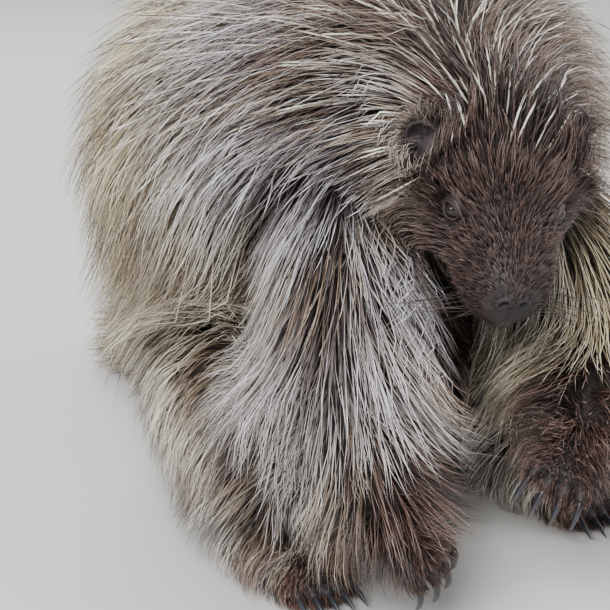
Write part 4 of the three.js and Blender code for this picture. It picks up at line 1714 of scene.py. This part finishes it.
@dataclass(frozen=True)
class Finish:
    """A surface: its name, and the shader's own numbers."""

    name: str
    roughness: float
    specular: float = 0.5
    ior: float = 1.5
    sheen: float = 0.0
    coat: float = 0.0
    coat_roughness: float = 0.03

    def start(self) -> tuple[bpy.types.Material, bpy.types.NodeTree, bpy.types.Node]:
        """Makes the material with its shader, and gives its node tree and the shader too."""
        material = bpy.data.materials.new(self.name)
        material.use_nodes = True
        tree = material.node_tree
        shader = tree.nodes["Principled BSDF"]
        numbers = {
            "Roughness": self.roughness, "Specular IOR Level": self.specular, "IOR": self.ior,
            "Sheen Weight": self.sheen, "Coat Weight": self.coat, "Coat Roughness": self.coat_roughness,
        }
        for key, value in numbers.items():
            shader.inputs[key].default_value = value
        return material, tree, shader

    def read(self, tree: bpy.types.NodeTree, name: str) -> bpy.types.NodeSocket:
        """Reads a number that is stored on the mesh."""
        return add_node(tree, "ShaderNodeAttribute", attribute_name=name).outputs["Fac"]

    def mixed(
        self, tree: bpy.types.NodeTree, colour: bpy.types.NodeSocket, others: dict[str, Any]
    ) -> bpy.types.NodeSocket:
        """Mixes other colours over a colour, each by the number that is stored under its name."""
        for name, other in others.items():
            inputs = {0: self.read(tree, name), 6: colour, 7: other}
            colour = add_node(tree, "ShaderNodeMix", inputs, data_type="RGBA").outputs[2]
        return colour

    def grained(
        self, tree: bpy.types.NodeTree, shader: bpy.types.Node, kind: tuple[str, str], sizes: Row
    ) -> None:
        """Gives the surface a fine relief.

        Args:
            tree: The material's tree.
            shader: Its shader.
            kind: The texture and the output that is read from it.
            sizes: The grain in millimetres, how strong it is, and its depth as a share of its size.
        """
        size, strength, deep = sizes
        spots = add_node(tree, "ShaderNodeTexCoord").outputs["Object"]
        grain = add_node(tree, kind[0], {"Vector": spots, "Scale": 1 / (size * MM)}).outputs[kind[1]]
        inputs = {"Height": grain, "Strength": strength, "Distance": size * MM * deep}
        bump = add_node(tree, "ShaderNodeBump", inputs)
        tree.links.new(bump.outputs["Normal"], shader.inputs["Normal"])


@dataclass(frozen=True)
class HairFinish(Finish):
    """Keratin hair, smooth and dry, dark at its root and paler to its tip."""

    straw: Stops = ((0.0, "#33291F"), (0.2, "#6B5B43"), (0.42, "#D6C799"), (0.65, "#FFF3C6"), (1, "#FFFBDF"))
    silver: Stops = ((0.0, "#3F373D"), (0.25, "#777078"), (0.55, "#C8C5D0"), (0.8, "#F0F0F8"), (1, "#FBFBFF"))
    brown: Stops = ((0.0, "#2C1F1B"), (0.4, "#593F35"), (0.7, "#8C6B5E"), (1, "#C4AFA8"))
    # The near-black brown that the dark share mixes in: the whiskers' and the face's own colour, and painted
    # shade on the face, chest and inner arms.
    dark: Stops = ((0.0, "#1A1312"), (0.5, "#372927"), (0.8, "#5A4640"), (1, "#857068"))
    tones: Stops = ((0.0, "#382E2C"), (0.35, "#89807E"), (0.65, "#E6E4E2"), (1, "#FFFFFF"))

    def build(self) -> bpy.types.Material:
        """Makes the material."""
        material, tree, shader = self.start()
        along = self.read(tree, "along")
        colour, silver, brown, dark = (
            add_node(tree, "ShaderNodeValToRGB", {0: along}, stops).outputs[0]
            for stops in (self.straw, self.silver, self.brown, self.dark)
        )
        # Mixes in the dark share, which is partly painted shade.
        colour = self.mixed(tree, colour, {"silver": silver, "brown": brown, "dark": dark})
        tone = add_node(tree, "ShaderNodeValToRGB", {0: self.read(tree, "tone")}, self.tones).outputs[0]
        inputs = {0: 1.0, 6: colour, 7: tone}
        toned = add_node(tree, "ShaderNodeMix", inputs, data_type="RGBA", blend_type="MULTIPLY")
        tree.links.new(toned.outputs[2], shader.inputs["Base Color"])
        return material


@dataclass(frozen=True)
class QuillFinish(Finish):
    """Hollow keratin quill, glossy: ivory white with a dark barbed end."""

    along: Stops = ((0.0, "#C9C2A8"), (0.3, "#E6E1D0"), (0.66, "#EDE9DC"), (0.8, "#5B4A3A"), (1.0, "#1E1815"))

    def build(self) -> bpy.types.Material:
        """Makes the material."""
        material, tree, shader = self.start()
        colour = add_node(tree, "ShaderNodeValToRGB", {0: self.read(tree, "along")}, self.along).outputs[0]
        tree.links.new(colour, shader.inputs["Base Color"])
        return material


@dataclass(frozen=True)
class SkinFinish(Finish):
    """Living skin, brown under the fur, and dark, pebbled and slightly moist where it is bare.

    Real pebbles are about 0.5 mm. They are drawn coarser, so that they show.
    """

    bare: str = "#2B2728"
    furred: Stops = ((0.0, "#3A302C"), (1.0, "#2E2624"))
    silvered: str = "#3B3539"
    pebbles: Row = (1.4, 0.35, 0.4)

    def build(self) -> bpy.types.Material:
        """Makes the material."""
        material, tree, shader = self.start()
        colour = add_node(tree, "ShaderNodeValToRGB", {0: self.read(tree, "brown")}, self.furred).outputs[0]
        colour = self.mixed(tree, colour, {"silver": linear(self.silvered), "bare": linear(self.bare)})
        tree.links.new(colour, shader.inputs["Base Color"])
        self.grained(tree, shader, ("ShaderNodeTexVoronoi", "Distance"), self.pebbles)
        return material


@dataclass(frozen=True)
class HornFinish(Finish):
    """Claw horn, polished by wear, finely grained, blue-black and a little paler along the curve."""

    along: Stops = ((0.0, "#1B1C20"), (0.6, "#2C2D33"), (1.0, "#4A4744"))
    grain: Row = (0.8, 0.15, 0.3)

    def build(self) -> bpy.types.Material:
        """Makes the material."""
        material, tree, shader = self.start()
        colour = add_node(tree, "ShaderNodeValToRGB", {0: self.read(tree, "along")}, self.along).outputs[0]
        tree.links.new(colour, shader.inputs["Base Color"])
        self.grained(tree, shader, ("ShaderNodeTexNoise", "Fac"), self.grain)
        return material


@dataclass(frozen=True)
class EyeFinish(Finish):
    """A wet rodent eye: black pupil, very dark brown iris and a dark rim under a clear, mirror-like film."""

    across: Stops = (
        (0.0, "#050404"), (0.075, "#060505"), (0.09, "#2A1A10"), (0.16, "#1C120C"), (0.19, "#0B0807"),
    )

    def build(self) -> bpy.types.Material:
        """Makes the material."""
        material, tree, shader = self.start()
        colour = add_node(tree, "ShaderNodeValToRGB", {0: self.read(tree, "polar")}, self.across).outputs[0]
        tree.links.new(colour, shader.inputs["Base Color"])
        return material


@dataclass(frozen=True)
class PlainFinish(Finish):
    """Matt paint on the floor, pale and even, so that it shows only the soft shadow."""

    colour: str = "#C2C0BC"

    def build(self) -> bpy.types.Material:
        """Makes the material."""
        material, _, shader = self.start()
        shader.inputs["Base Color"].default_value = linear(self.colour)
        return material


@dataclass
class Studio:
    """A pale floor, soft lights and the camera, in metres and degrees.

    Each light is its place, its side and its power in watts. The floor's half side is in millimetres.
    """

    azimuth: float = -30.0
    elevation: float = 20.0
    target: Row = (-0.0936, -0.125, 0.180)
    distance: float = 1.05
    lens: float = 102.0
    lights: Sequence[tuple[Row, float, float]] = (
        ((-1.3, -1.1, 1.7), 1.3, 96.0),
        ((1.5, -1.0, 1.2), 1.6, 36.0),
        ((0.3, 1.6, 1.5), 1.4, 42.0),
    )
    sky: str = "#E4E9F2"
    sky_strength: float = 0.7
    floor_size: float = 3000.0

    def floor(self) -> bpy.types.Object:
        """Builds the floor."""
        size = self.floor_size
        corners = np.array([(-size, -size, 0), (size, -size, 0), (size, size, 0), (-size, size, 0)], float)
        piece = mesh_object("floor", corners, [(0, 1, 2, 3)], smooth=False)
        piece.data.materials.append(PlainFinish("matt floor paint", 0.85).build())
        return piece

    def light(self) -> None:
        """Sets up the lights."""
        for place, size, power in self.lights:
            lamp = bpy.data.lights.new("softbox", "AREA")
            lamp.size, lamp.energy = size, power
            holder = bpy.data.objects.new("softbox", lamp)
            holder.location = place
            holder.rotation_euler = (Vector(self.target) - Vector(place)).to_track_quat("-Z", "Y").to_euler()
            bpy.context.scene.collection.objects.link(holder)
        world = bpy.data.worlds.new("soft sky")
        world.use_nodes = True
        background = world.node_tree.nodes["Background"]
        background.inputs["Color"].default_value = linear(self.sky)
        background.inputs["Strength"].default_value = self.sky_strength
        bpy.context.scene.world = world

    def camera(self) -> None:
        """Sets up the camera where the photographer stood."""
        a, e = math.radians(self.azimuth), math.radians(self.elevation)
        away = Vector((math.sin(a) * math.cos(e), -math.cos(a) * math.cos(e), math.sin(e)))
        made = bpy.data.objects.new("camera", bpy.data.cameras.new("camera"))
        made.data.lens = self.lens
        made.location = Vector(self.target) + away * self.distance
        made.rotation_euler = (-away).to_track_quat("-Z", "Y").to_euler()
        bpy.context.scene.collection.objects.link(made)
        bpy.context.scene.camera = made


def main() -> None:
    """Builds the porcupine, dresses it and sets it in the studio."""
    logging.basicConfig(level=logging.INFO, format="%(message)s")
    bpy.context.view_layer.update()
    anatomy = Anatomy()
    stretches = anatomy.stretches()
    head = next(s for s in stretches if s.region is Region.HEAD)
    face = Face(head, anatomy.head_set.matrix)
    paws = [Paw(s, FORE_TOES) for s in stretches if s.region is Region.FOREPAW]
    paws += [Paw(s, HIND_TOES, DOWN) for s in stretches if s.region is Region.HIND_FOOT]

    body = Skin(anatomy, face, paws)
    skin = body.build()
    nap = Nap(stretches, [face.whorl(side) for side in Side])
    coat = Coat(nap, face.clear())
    coat.read(skin)
    body.mark(skin, nap)
    flesh_nodes = [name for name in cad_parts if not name.startswith("eye")]
    skin.data.materials.append(SkinFinish("dark living skin", roughness=0.55, specular=0.4, ior=1.4).build())
    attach(skin, "root")
    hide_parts(*flesh_nodes)
    LOG.info("skin: %d faces", len(skin.data.polygons))

    eye_finish = EyeFinish("wet eye", roughness=0.06, ior=1.38, coat=0.3).build()
    for side, eye in face.eyes.items():
        ball = eye.ball(face.place)
        ball.data.materials.append(eye_finish)
        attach(ball, "root")
        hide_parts(f"eye_{side.word}")
        LOG.info("%s: %d faces", ball.name, len(ball.data.polygons))

    horn = claws(paws)
    horn.data.materials.append(HornFinish("claw horn", roughness=0.32, ior=1.55).build())
    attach(horn, "root")
    LOG.info("claws: %d faces", len(horn.data.polygons))

    long_hair = HairFinish("keratin hair", roughness=0.36, ior=1.55).build()
    short_fur = HairFinish("short fur", roughness=0.6, specular=0.3, ior=1.55).build()
    quills = QuillFinish("quill", roughness=0.3, ior=1.55).build()
    kinds = ((GUARD, long_hair), (AWN, long_hair), (WOOL, long_hair), (FUR, short_fur), (QUILL, quills))
    share = 1.0
    total = 0
    for i, (kind, finish) in enumerate(kinds):
        hair = replace(kind, count=int(kind.count * share))
        for piece in coat.grow(hair, i):
            piece.data.materials.append(finish)
            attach(piece, "root")
            total += len(piece.data.polygons)
        LOG.info("%s: %d hairs", hair.name, hair.count)
    whiskers = Whiskers(face).build()
    whiskers.data.materials.append(long_hair)
    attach(whiskers, "root")
    LOG.info("whiskers: %d faces", len(whiskers.data.polygons))
    LOG.info("coat: %d faces", total)

    studio = Studio()
    studio.floor()
    studio.light()
    studio.camera()


if __name__ == "__main__":
    main()
